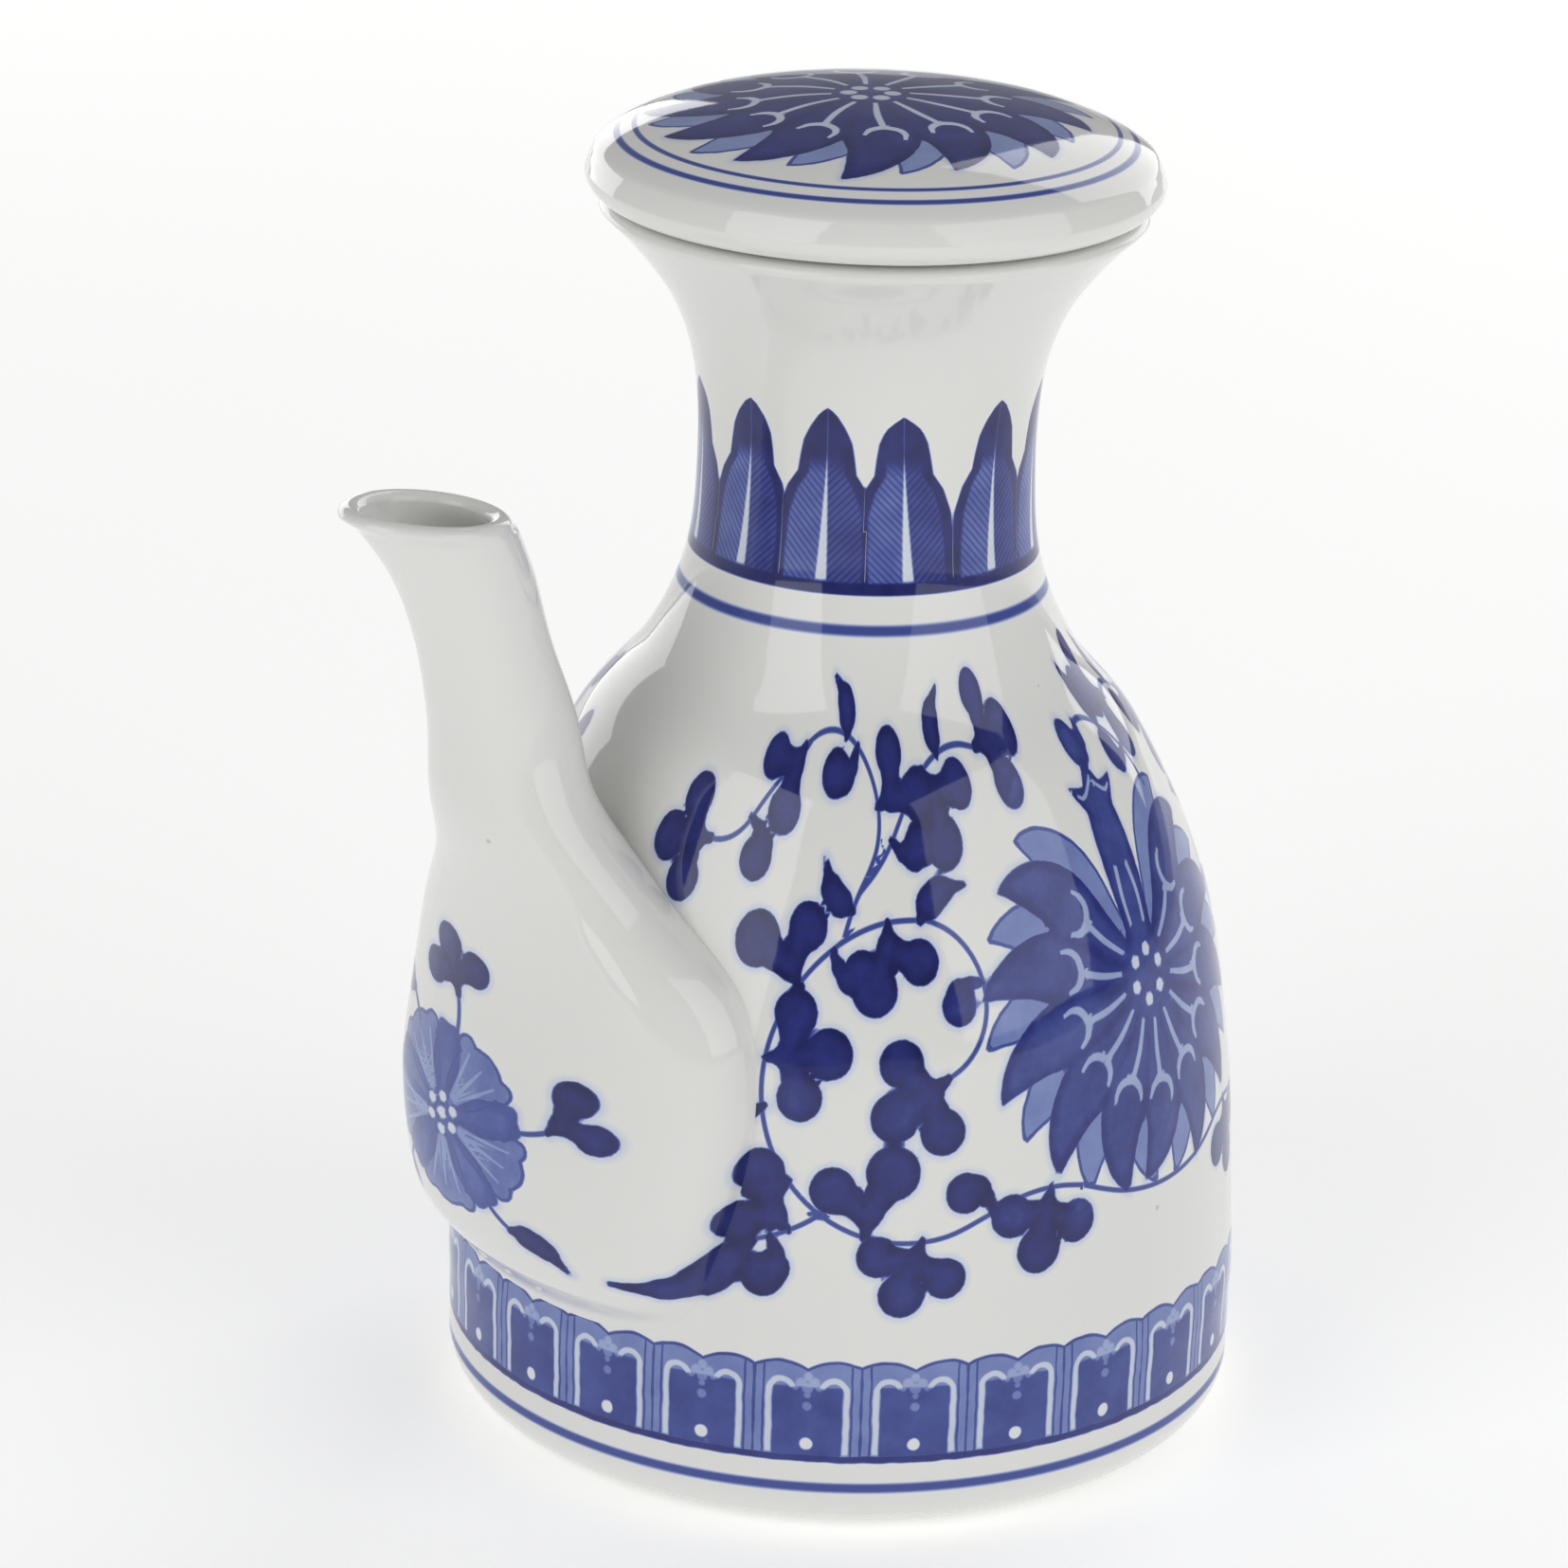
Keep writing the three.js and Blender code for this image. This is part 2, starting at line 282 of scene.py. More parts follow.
# The kinds of leaf, each growing from its root along the first axis: (out, aside, half width).
leafShapes = {
    "trefoil": [[(0, 0, 0.4), (2.2, 0, 1.1), (4.4, 0, 1.5), (7.2, 0, 2.6)],
                [(2.4, 0.3, 1.1), (3.2, 2.2, 1.5), (3.6, 4.4, 2.4)],
                [(2.4, -0.3, 1.1), (3.2, -2.2, 1.5), (3.6, -4.4, 2.4)]],
    "twin": [[(0, 0, 0.4), (2.2, 0.6, 1.2), (4.4, 1.9, 1.6), (6.4, 3.2, 2.7)],
             [(2.0, 0.2, 1.1), (3.8, -1.4, 1.5), (4.9, -3.1, 2.3)]],
    "comma": [[(0, 0, 0.4), (1.6, 0.9, 0.8), (3.3, 0.9, 1.6), (4.2, -0.2, 2.2)]],
    "bract": [[(0, 0, 0.4), (1.6, 0.6, 1.4), (3.8, 0.6, 1.3), (6.6, -0.7, 0.15)]],
    "tongue": [[(0, 0, 0.4), (2.6, 1.0, 1.5), (5.4, 1.5, 1.6), (8.0, 0.9, 1.0), (11.5, -1.0, 0.15)]],
}

# The vines: where each starts and heads (degrees anticlockwise from across), its arcs as length and turn
# in degrees, and its leaves as the distance along it, kind, turn away from it and size.
scrollVines = [
    {"start": (66, 36), "heading": 165, "arcs": [(12, 45), (60, -215), (21, -150)], "leaves": [
        (4, "trefoil", 75, 0.9), (11, "comma", -65, 0.9), (19, "trefoil", 65, 0.85), (25, "twin", -75, 1.0),
        (35, "bract", 50, 1.0), (43, "comma", 75, 1.0), (48, "trefoil", -80, 0.95), (56, "twin", 65, 0.95),
        (61, "comma", -70, 0.95), (68, "twin", -80, 0.9), (72, "bract", 45, 1.0), (82, "comma", -75, 0.85),
        (93, "trefoil", 0, 0.95)]},
    {"start": (38.5, 62.4), "heading": 75, "arcs": [(7, -20), (21, 160)], "leaves": [
        (3, "bract", 70, 0.9), (13, "twin", -60, 0.85), (19, "comma", 75, 0.9), (21, "bract", -45, 0.9),
        (28, "twin", 20, 0.8)]},
    {"start": (40.5, 67), "heading": 40, "arcs": [(8, 20), (16, -75)], "leaves": [
        (6, "comma", -65, 0.9), (14, "twin", -75, 0.9), (17, "bract", 60, 0.9), (24, "trefoil", 20, 0.9)]},
]
# Vines that reach to the spout, only on its two sides.
spoutSideVines = [
    {"start": (31.2, 79), "heading": 215, "arcs": [(9, 20), (6, -60)], "leaves": [
        (9, "comma", 65, 0.9), (15, "trefoil", 5, 0.85)]},
    {"start": (37.4, 35.4), "heading": 215, "arcs": [(8, -20)], "leaves": [
        (4, "twin", -60, 0.9), (6, "comma", 65, 1.0), (8, "tongue", 10, 1.2)]},
]
# Round the flower: the stem that carries it, and a curl over its crown.
flowerVines = [
    {"start": (66, 36), "heading": -25, "arcs": [(26, 50)], "leaves": []},
    {"start": (92, 71), "heading": 95, "arcs": [(14, 95)], "leaves": [
        (4, "comma", 60, 0.8), (8, "bract", -50, 0.9), (14, "comma", 20, 0.9)]},
]


def arcStem(start, heading, arcs, wide=0.24):
    # A stem of arcs that run on from each other, walked in short steps.
    line = [(*start, wide)]
    for length, turned in arcs:
        steps = 2 + round(abs(turned) / 20)
        for _ in range(steps):
            heading += turned / steps / 2
            line.append((line[-1][0] + length / steps * math.cos(math.radians(heading)),
                         line[-1][1] + length / steps * math.sin(math.radians(heading)), wide))
            heading += turned / steps / 2
    return line


def leafOn(stem, distance, kind, turned, size):
    # One leaf on a stem, turned away from the way the stem is going there; right-hand ones are mirrored.
    line = np.array(stem)
    along = lengthsAlong(line[:, :2])
    distance = min(distance, along[-1])
    place = [np.interp(distance, along, line[:, k]) for k in (0, 1)]
    piece = min(np.searchsorted(along, distance), len(line) - 1)
    step = line[max(piece, 1)] - line[max(piece, 1) - 1]
    heading = math.degrees(math.atan2(step[1], step[0]))
    side = -1 if turned < 0 else 1
    leaf = [[(size * out, side * size * aside, size * wide) for out, aside, wide in stroke]
            for stroke in leafShapes[kind]]
    return moved(turnedBy(leaf, heading + turned), *place)


def grown(vines):
    # The stems of some vines, and all their leaves.
    stems = [arcStem(vine["start"], vine["heading"], vine["arcs"]) for vine in vines]
    leaves = []
    for stem, vine in zip(stems, vines):
        for leaf in vine["leaves"]:
            leaves += leafOn(stem, *leaf)
    return stems, leaves


# The spout's own spray, in a plane across the bulb: across is squeezed so that it wraps the bulb. Sprigs
# leave the blossom all round: the angle they leave at, their stem's length, and the leaf's kind and size.
spoutSqueeze = 1.5
spoutFlower = {"across": -3, "up": 38, "reach": 9}
spoutSprigs = [(85, 4, "trefoil", 0.7), (15, 3, "twin", 0.62), (-50, 3, "bract", 0.8), (128, 3, "bract", 0.9),
               (180, 1.5, "comma", 0.6), (232, 2, "comma", 0.7)]


def spoutSpray():
    stems, leaves = [], []
    for angle, length, kind, size in spoutSprigs:
        root = (spoutFlower["across"] + spoutFlower["reach"] * math.cos(math.radians(angle)),
                spoutFlower["up"] + spoutFlower["reach"] * math.sin(math.radians(angle)))
        stems.append(arcStem(root, angle, [(length, 20)]))
        leaves += leafOn(stems[-1], length, kind, 10, size)
    return stems, leaves


def spoutBlossom():
    # A five-petalled blossom: broad light petals with frilled edges, darker ones behind them, fine
    # spreading veins and six dots.
    dark, light, veins = [], [], []
    for number in range(5):
        angle = 90 - 33 + 72 * number
        frill = [[(8.2, side, 1.15)] for side in (-2.6, -0.9, 1.0, 2.7)]
        light += turnedBy([[(2.2, 0, 0.9), (5.0, 0, 2.4), (6.9, 0, 2.9)], *frill], angle)
        dark += turnedBy([[(1.5, 0, 0.9), (5, 0, 2.0), (7.4, 0, 1.9)], [(8.6, -0.9, 0.8)],
                          [(8.7, 0.9, 0.8)]], angle + 36)
        veins += turnedBy(
            [[(2.8, 0.3 * k, 0.22), (5.0, 0.65 * k, 0.2), (7.6, 1.1 * k, 0.12)] for k in (-1.7, 0, 1.7)],
            angle
        )
    dots = [(1.75 * math.cos(a), 1.75 * math.sin(a), 0.62) for a in np.radians(np.arange(6) * 60 + 30)]
    return {"dark": dark, "light": light, "veins": veins, "dots": dots}


def lidBlossom():
    # The lid's rosette: swept petals all the way round, dark over light, with hooked veins.
    dark, light, veins = [[(0, 0, 4.6)]], [], []
    for number in range(12):
        angle = 4 + 30 * number
        dark.append(petal(angle, 21.8 + 0.7 * math.sin(2.3 * number), 3.9, -3.2))
        light.append(petal(angle + 14, 21.6 + 0.7 * math.cos(1.9 * number), 3.6, -2.8))
        veins += vein(angle + 3, 4.4, 11.4, 1)
    dots = [(2.2 * math.cos(a), 2.2 * math.sin(a), 0.9) for a in np.radians(np.arange(6) * 60)]
    return {"dark": dark, "light": light, "veins": veins, "dots": dots}


def linear(code):
    # An sRGB hex colour as linear light.
    parts = [int(code[i : i + 2], 16) / 255 for i in (1, 3, 5)]
    return (*(v / 12.92 if v <= 0.04045 else ((v + 0.055) / 1.055) ** 2.4 for v in parts), 1.0)


def addNode(tree, kind, feeds=None, gives=0, **settings):
    # Adds a node, sets it, feeds its sockets with links or plain values, and gives one of its outputs.
    node = tree.nodes.new("ShaderNode" + kind)
    for name, value in settings.items():
        setattr(node, name, value)
    for socket, value in (feeds or {}).items():
        if isinstance(value, bpy.types.NodeSocket):
            tree.links.new(value, node.inputs[socket])
        else:
            node.inputs[socket].default_value = value
    return node.outputs[gives] if node.outputs else node


def newMaterial(name):
    material = bpy.data.materials.new(name)
    material.use_nodes = True
    material.node_tree.nodes.clear()
    return material, material.node_tree


inkTones = [  # how cobalt under a clear glaze goes from bare white to the darkest wash
    (0.0, "#E1E1DE"), (0.1, "#CDD4DF"), (0.3, "#8797C6"), (0.55, "#44559F"), (0.78, "#232C78"),
    (1.0, "#0F1352"),
]
paint = {
    "press": 0.16,  # how far the brush spreads past its stroke, in millimetres
    "edge": 0.16,  # half the softness of a stroke's edge, in millimetres
    "bleed": 0.9,  # how far the cobalt bleeds faintly into the glaze
    "leafTone": 0.98, "petalTone": 0.36, "stemTone": 0.64,
    "veinLift": 0.84,  # how much of the wash a pale vein leaves out
    "wobble": 0.22,  # unevenness of the hand, in millimetres
}
footBand = {"panels": 24, "pitch": 10.9, "turn": 5.25, "low": 8.45, "high": 19.7}
neckBand = {"low": 92.9, "strip": 94.0, "solid": 106.0, "hatch": 0.85}


def evenPlace(tree):
    # Millimetres from the bottle's axis, read from the piece's own place.
    held = addNode(tree, "TexCoord", gives="Object")
    return addNode(tree, "Mapping", {"Vector": held, "Location": (-axisX, 0, 0), "Scale": (1000, 1000, 1000)})


def brushInk(tree, place):
    # How much cobalt each stroke leaves: leaves and dark petals, light petals with a fine dark outline,
    # stems, and pale veins and dots that are left out of the wash.
    read = {
        name: addNode(tree, "Attribute", gives="Fac", attribute_name=name)
        for name in ("leafGap", "petalGap", "stemSide", "stemBeyond", "veinSide", "veinBeyond", "dotGap",
                     "inkShare")
    }
    unevenHand = addNode(tree, "TexNoise", {"Vector": place, "Scale": 0.9, "Detail": 2.0, "Roughness": 0.5})
    sway = addNode(tree, "Math", {0: unevenHand, 1: 0.5}, operation="SUBTRACT")
    wobbled = {
        name: addNode(tree, "Math", {0: sway, 1: paint["wobble"], 2: read[name]}, operation="MULTIPLY_ADD")
        for name in ("leafGap", "petalGap")
    }
    edge = paint["edge"]
    leaf = addNode(tree, "MapRange", {"Value": wobbled["leafGap"], "From Min": edge, "From Max": -edge},
                   interpolation_type="SMOOTHSTEP")
    rim = addNode(tree, "MapRange", {"Value": wobbled["leafGap"], "From Min": -1.5, "From Max": -0.15,
                                     "To Min": 0.86, "To Max": 1.0}, interpolation_type="SMOOTHSTEP")
    # the wash pools here and there as it dries, in clouds of about 4 mm
    pool = addNode(tree, "TexNoise", {"Vector": place, "Scale": 0.24, "Detail": 4.0, "Roughness": 0.6})
    pooled = addNode(tree, "MapRange", {"Value": pool, "From Min": 0.3, "From Max": 0.7, "To Min": 0.86,
                                        "To Max": 1.06})
    wash = addNode(tree, "Math", {0: rim, 1: pooled}, operation="MULTIPLY")
    leafTone = addNode(tree, "Math", {0: wash, 1: paint["leafTone"]}, operation="MULTIPLY")
    leafTone = addNode(tree, "Math", {0: leafTone, 1: read["inkShare"]}, operation="MULTIPLY")
    leafInk = addNode(tree, "Math", {0: leaf, 1: leafTone}, operation="MULTIPLY")
    petalFill = addNode(tree, "MapRange", {"Value": wobbled["petalGap"], "From Min": edge, "From Max": -edge},
                        interpolation_type="SMOOTHSTEP")
    petalTone = addNode(tree, "Math", {0: read["inkShare"], 1: -1.0, 2: 2.0}, operation="MULTIPLY_ADD")
    petalTone = addNode(tree, "Math", {0: petalTone, 1: paint["petalTone"]}, operation="MULTIPLY")
    petalTone = addNode(tree, "Math", {0: petalTone, 1: pooled}, operation="MULTIPLY")
    petalInk = addNode(tree, "Math", {0: petalFill, 1: petalTone}, operation="MULTIPLY")
    rimLine = addNode(tree, "Math", {0: wobbled["petalGap"], 1: 0.12}, operation="ADD")
    rimLine = addNode(tree, "Math", {0: rimLine}, operation="ABSOLUTE")
    rimInk = addNode(tree, "MapRange", {"Value": rimLine, "From Min": 0.32, "From Max": 0.1, "To Max": 0.62},
                     interpolation_type="SMOOTHSTEP")
    stemAcross = addNode(tree, "Math", {0: read["stemSide"]}, operation="ABSOLUTE")
    stem = addNode(tree, "MapRange", {"Value": stemAcross, "From Min": 1.7, "From Max": 0.5,
                                      "To Max": paint["stemTone"]},
                   interpolation_type="SMOOTHSTEP")
    stemHere = addNode(tree, "MapRange", {"Value": read["stemBeyond"], "From Min": 0.36, "From Max": 0.16},
                       interpolation_type="SMOOTHSTEP")
    stemInk = addNode(tree, "Math", {0: stem, 1: stemHere}, operation="MULTIPLY")
    bleed = addNode(tree, "MapRange", {"Value": read["leafGap"], "From Min": paint["bleed"],
                                       "From Max": 0.0, "To Max": 0.12},
                    interpolation_type="SMOOTHSTEP")
    ink = leafInk
    for more in (petalInk, rimInk, stemInk, bleed):
        ink = addNode(tree, "Math", {0: ink, 1: more}, operation="MAXIMUM")
    veinAcross = addNode(tree, "Math", {0: read["veinSide"]}, operation="ABSOLUTE")
    vein = addNode(tree, "MapRange", {"Value": veinAcross, "From Min": 1.35, "From Max": 0.7},
                   interpolation_type="SMOOTHSTEP")
    veinHere = addNode(tree, "MapRange", {"Value": read["veinBeyond"], "From Min": 0.34, "From Max": 0.14},
                       interpolation_type="SMOOTHSTEP")
    vein = addNode(tree, "Math", {0: vein, 1: veinHere}, operation="MULTIPLY")
    veinShare = addNode(tree, "MapRange", {"Value": read["inkShare"], "From Min": 0.6, "From Max": 1.0,
                                           "To Min": 0.3})
    vein = addNode(tree, "Math", {0: vein, 1: veinShare}, operation="MULTIPLY")
    dot = addNode(tree, "MapRange", {"Value": read["dotGap"], "From Min": 0.14, "From Max": -0.14},
                  interpolation_type="SMOOTHSTEP")
    bare = addNode(tree, "Math", {0: vein, 1: dot}, operation="MAXIMUM")
    left = addNode(tree, "Math", {0: bare, 1: -paint["veinLift"], 2: 1.0}, operation="MULTIPLY_ADD")
    return addNode(tree, "Math", {0: ink, 1: left}, operation="MULTIPLY")


def footBandInk(tree, place, pooled):
    # The band of panels round the foot. Each panel is read as its distance across from the middle, by
    # turning the angle round the axis into panels, and the height: a dark ground, pale hooked uprights,
    # a pale pendant, a drop, a dot, mid-blue stripes between panels, and a scalloped top edge.
    apart = addNode(tree, "SeparateXYZ", {"Vector": place}).node
    angle = addNode(tree, "Math", {0: apart.outputs["Y"], 1: apart.outputs["X"]}, operation="ARCTAN2")
    panel = addNode(tree, "Math", {0: angle, 1: footBand["panels"] / (2 * math.pi),
                                   2: 0.5 - footBand["turn"] * footBand["panels"] / 360},
                                   operation="MULTIPLY_ADD")
    panel = addNode(tree, "Math", {0: panel}, operation="FRACT")
    panel = addNode(tree, "Math", {0: panel, 1: footBand["pitch"], 2: -footBand["pitch"] / 2},
                    operation="MULTIPLY_ADD")
    across = addNode(tree, "Math", {0: panel}, operation="ABSOLUTE")
    hand = addNode(tree, "TexNoise", {"Vector": place, "Scale": 0.5, "Detail": 1.0})
    hand = addNode(tree, "Math", {0: hand, 1: 0.5}, operation="SUBTRACT")
    across = addNode(tree, "Math", {0: hand, 1: 0.3, 2: across}, operation="MULTIPLY_ADD")
    up = addNode(tree, "Math", {0: hand, 1: 0.3, 2: apart.outputs["Z"]}, operation="MULTIPLY_ADD")
    spot = addNode(tree, "CombineXYZ", {"X": across, "Y": up})
    # scalloped top: highest 3 mm out from the panel's middle, falling with the square on both sides
    lean = addNode(tree, "Math", {0: across, 1: 3.0}, operation="SUBTRACT")
    lean = addNode(tree, "Math", {0: lean, 1: lean}, operation="MULTIPLY")
    top = addNode(tree, "Math", {0: lean, 1: -0.1, 2: footBand["high"]}, operation="MULTIPLY_ADD")
    under = addNode(tree, "Math", {0: top, 1: up}, operation="SUBTRACT")
    inside = addNode(tree, "MapRange", {"Value": under, "From Min": -0.12, "From Max": 0.12},
                     interpolation_type="SMOOTHSTEP")
    aboveFoot = addNode(tree, "MapRange", {"Value": up, "From Min": footBand["low"] - 0.15,
                                           "From Max": footBand["low"] + 0.15},
                                           interpolation_type="SMOOTHSTEP")
    inside = addNode(tree, "Math", {0: inside, 1: aboveFoot}, operation="MULTIPLY")
    ground = addNode(tree, "MapRange", {"Value": across, "From Min": 3.75, "From Max": 3.45, "To Max": 0.68},
                     interpolation_type="SMOOTHSTEP")
    lowGround = addNode(tree, "MapRange", {"Value": up, "From Min": 17.4, "From Max": 16.6},
                        interpolation_type="SMOOTHSTEP")
    ground = addNode(tree, "Math", {0: ground, 1: lowGround}, operation="MULTIPLY")
    strip = addNode(tree, "MapRange", {"Value": up, "From Min": 9.4, "From Max": 9.1, "To Max": 0.82},
                    interpolation_type="SMOOTHSTEP")
    outline = addNode(tree, "MapRange", {"Value": under, "From Min": 0.5, "From Max": 0.28, "To Max": 0.66},
                      interpolation_type="SMOOTHSTEP")
    tone = addNode(tree, "Math", {0: ground, 1: strip}, operation="MAXIMUM")
    tone = addNode(tree, "Math", {0: tone, 1: outline}, operation="MAXIMUM")
    for middle, half in ((4.5, 0.14), (5.45, 0.16)):  # thin dark lines beside the uprights and between panels
        line = addNode(tree, "Math", {0: across, 1: middle}, operation="SUBTRACT")
        line = addNode(tree, "Math", {0: line}, operation="ABSOLUTE")
        line = addNode(tree, "MapRange", {"Value": line, "From Min": half + 0.12, "From Max": half - 0.08,
                                          "To Max": 0.66},
                       interpolation_type="SMOOTHSTEP")
        tone = addNode(tree, "Math", {0: tone, 1: line}, operation="MAXIMUM")
    tone = addNode(tree, "Math", {0: tone, 1: 0.42}, operation="MAXIMUM")
    tone = addNode(tree, "Math", {0: tone, 1: pooled}, operation="MULTIPLY")
    # hooked upright: straight below 16.3 mm, then an arc of 1.25 mm turning inwards
    aboveBend = addNode(tree, "Math", {0: up, 1: 16.3}, operation="SUBTRACT")
    aboveBend = addNode(tree, "Math", {0: aboveBend, 1: 0.0}, operation="MAXIMUM")
    fromBend = addNode(tree, "Math", {0: across, 1: 2.7}, operation="SUBTRACT")
    hook = addNode(tree, "CombineXYZ", {"X": fromBend, "Y": aboveBend})
    hook = addNode(tree, "VectorMath", {0: hook}, gives="Value", operation="LENGTH")
    hook = addNode(tree, "Math", {0: hook, 1: 1.25}, operation="SUBTRACT")
    hook = addNode(tree, "Math", {0: hook}, operation="ABSOLUTE")
    hook = addNode(tree, "MapRange", {"Value": hook, "From Min": 0.42, "From Max": 0.2},
                   interpolation_type="SMOOTHSTEP")
    outer = addNode(tree, "MapRange", {"Value": across, "From Min": 2.4, "From Max": 2.7})
    bent = addNode(tree, "MapRange", {"Value": up, "From Min": 16.5, "From Max": 16.8})
    where = addNode(tree, "Math", {0: outer, 1: bent}, operation="MAXIMUM")
    hook = addNode(tree, "Math", {0: hook, 1: where}, operation="MULTIPLY")
    aboveStrip = addNode(tree, "MapRange", {"Value": up, "From Min": 9.2, "From Max": 9.5})
    pale = addNode(tree, "Math", {0: hook, 1: aboveStrip}, operation="MULTIPLY")
    pale = addNode(tree, "Math", {0: pale, 1: 0.68}, operation="MULTIPLY")
    # pendant of three lobes, the drop below it and the white dot: (across, up, radius, how pale)
    for aside, height, radius, share in (
        (0, 17.9, 0.5, 0.36), (0.7, 17.3, 0.55, 0.36), (1.2, 16.8, 0.4, 0.36), (0, 16.7, 0.6, 0.36),
        (0, 15.9, 0.35, 0.36), (0, 14.7, 0.5, 0.36), (0, 10.5, 0.7, 0.96),
    ):
        off = addNode(tree, "VectorMath", {0: spot, 1: (aside, height, 0)}, gives="Value",
                      operation="DISTANCE")
        lobe = addNode(tree, "MapRange", {"Value": off, "From Min": radius + 0.14,
                                          "From Max": radius - 0.14, "To Max": share},
                       interpolation_type="SMOOTHSTEP")
        pale = addNode(tree, "Math", {0: pale, 1: lobe}, operation="MAXIMUM")
    left = addNode(tree, "Math", {0: 1.0, 1: pale}, operation="SUBTRACT")
    tone = addNode(tree, "Math", {0: tone, 1: left}, operation="MULTIPLY")
    return addNode(tree, "Math", {0: tone, 1: inside}, operation="MULTIPLY")


def neckBandInk(tree, place, pooled):
    # The ring of upright leaves round the neck: a dark outline and tip, hatching that rises outwards from
    # a pale midrib, lighter on each leaf's left half.
    edgeGap = addNode(tree, "Attribute", gives="Fac", attribute_name="neckGap")
    fromRib = addNode(tree, "Attribute", gives="Fac", attribute_name="neckRib")
    up = addNode(tree, "SeparateXYZ", {"Vector": place}, gives="Z")
    inside = addNode(tree, "MapRange", {"Value": edgeGap, "From Min": 0.14, "From Max": -0.14},
                     interpolation_type="SMOOTHSTEP")
    low = addNode(tree, "MapRange", {"Value": up, "From Min": neckBand["low"] - 0.12,
                                     "From Max": neckBand["low"] + 0.12})
    inside = addNode(tree, "Math", {0: inside, 1: low}, operation="MULTIPLY")
    outline = addNode(tree, "MapRange", {"Value": edgeGap, "From Min": -1.25, "From Max": -0.8},
                      interpolation_type="SMOOTHSTEP")
    tip = addNode(tree, "MapRange", {"Value": up, "From Min": neckBand["solid"] - 1.2,
                                     "From Max": neckBand["solid"] + 1.2},
                  interpolation_type="SMOOTHSTEP")
    strip = addNode(tree, "MapRange", {"Value": up, "From Min": neckBand["strip"] + 0.3,
                                       "From Max": neckBand["strip"] - 0.1},
                    interpolation_type="SMOOTHSTEP")
    dark = addNode(tree, "Math", {0: outline, 1: tip}, operation="MAXIMUM")
    dark = addNode(tree, "Math", {0: dark, 1: strip}, operation="MAXIMUM")
    aside = addNode(tree, "Math", {0: fromRib}, operation="ABSOLUTE")
    rise = addNode(tree, "Math", {0: aside, 1: -1.1, 2: up}, operation="MULTIPLY_ADD")
    rise = addNode(tree, "Math", {0: rise, 1: 2 * math.pi / neckBand["hatch"]}, operation="MULTIPLY")
    hatch = addNode(tree, "Math", {0: rise}, operation="SINE")
    hatch = addNode(tree, "MapRange", {"Value": hatch, "From Min": -0.2, "From Max": 0.9, "To Min": 0.0,
                                       "To Max": 0.16},
                    interpolation_type="SMOOTHSTEP")
    half = addNode(tree, "MapRange", {"Value": fromRib, "From Min": -0.4, "From Max": 0.4, "To Min": 0.52,
                                      "To Max": 0.7})
    middle = addNode(tree, "Math", {0: half, 1: hatch}, operation="ADD")
    tone = addNode(tree, "Mix", {"Factor": dark, "A": middle, "B": 0.94}, data_type="FLOAT")
    tone = addNode(tree, "Math", {0: tone, 1: pooled}, operation="MULTIPLY")
    ribWidth = addNode(tree, "MapRange", {"Value": up, "From Min": 94.0, "From Max": 107.5, "To Min": 0.62,
                                          "To Max": 0.0})
    rib = addNode(tree, "Math", {0: aside, 1: ribWidth}, operation="SUBTRACT")
    rib = addNode(tree, "MapRange", {"Value": rib, "From Min": 0.14, "From Max": -0.16},
                  interpolation_type="SMOOTHSTEP")
    aboveStrip = addNode(tree, "MapRange", {"Value": up, "From Min": 94.0, "From Max": 94.4})
    rib = addNode(tree, "Math", {0: rib, 1: aboveStrip}, operation="MULTIPLY")
    left = addNode(tree, "Math", {0: rib, 1: -0.86, 2: 1.0}, operation="MULTIPLY_ADD")
    tone = addNode(tree, "Math", {0: tone, 1: left}, operation="MULTIPLY")
    return addNode(tree, "Math", {0: tone, 1: inside}, operation="MULTIPLY")


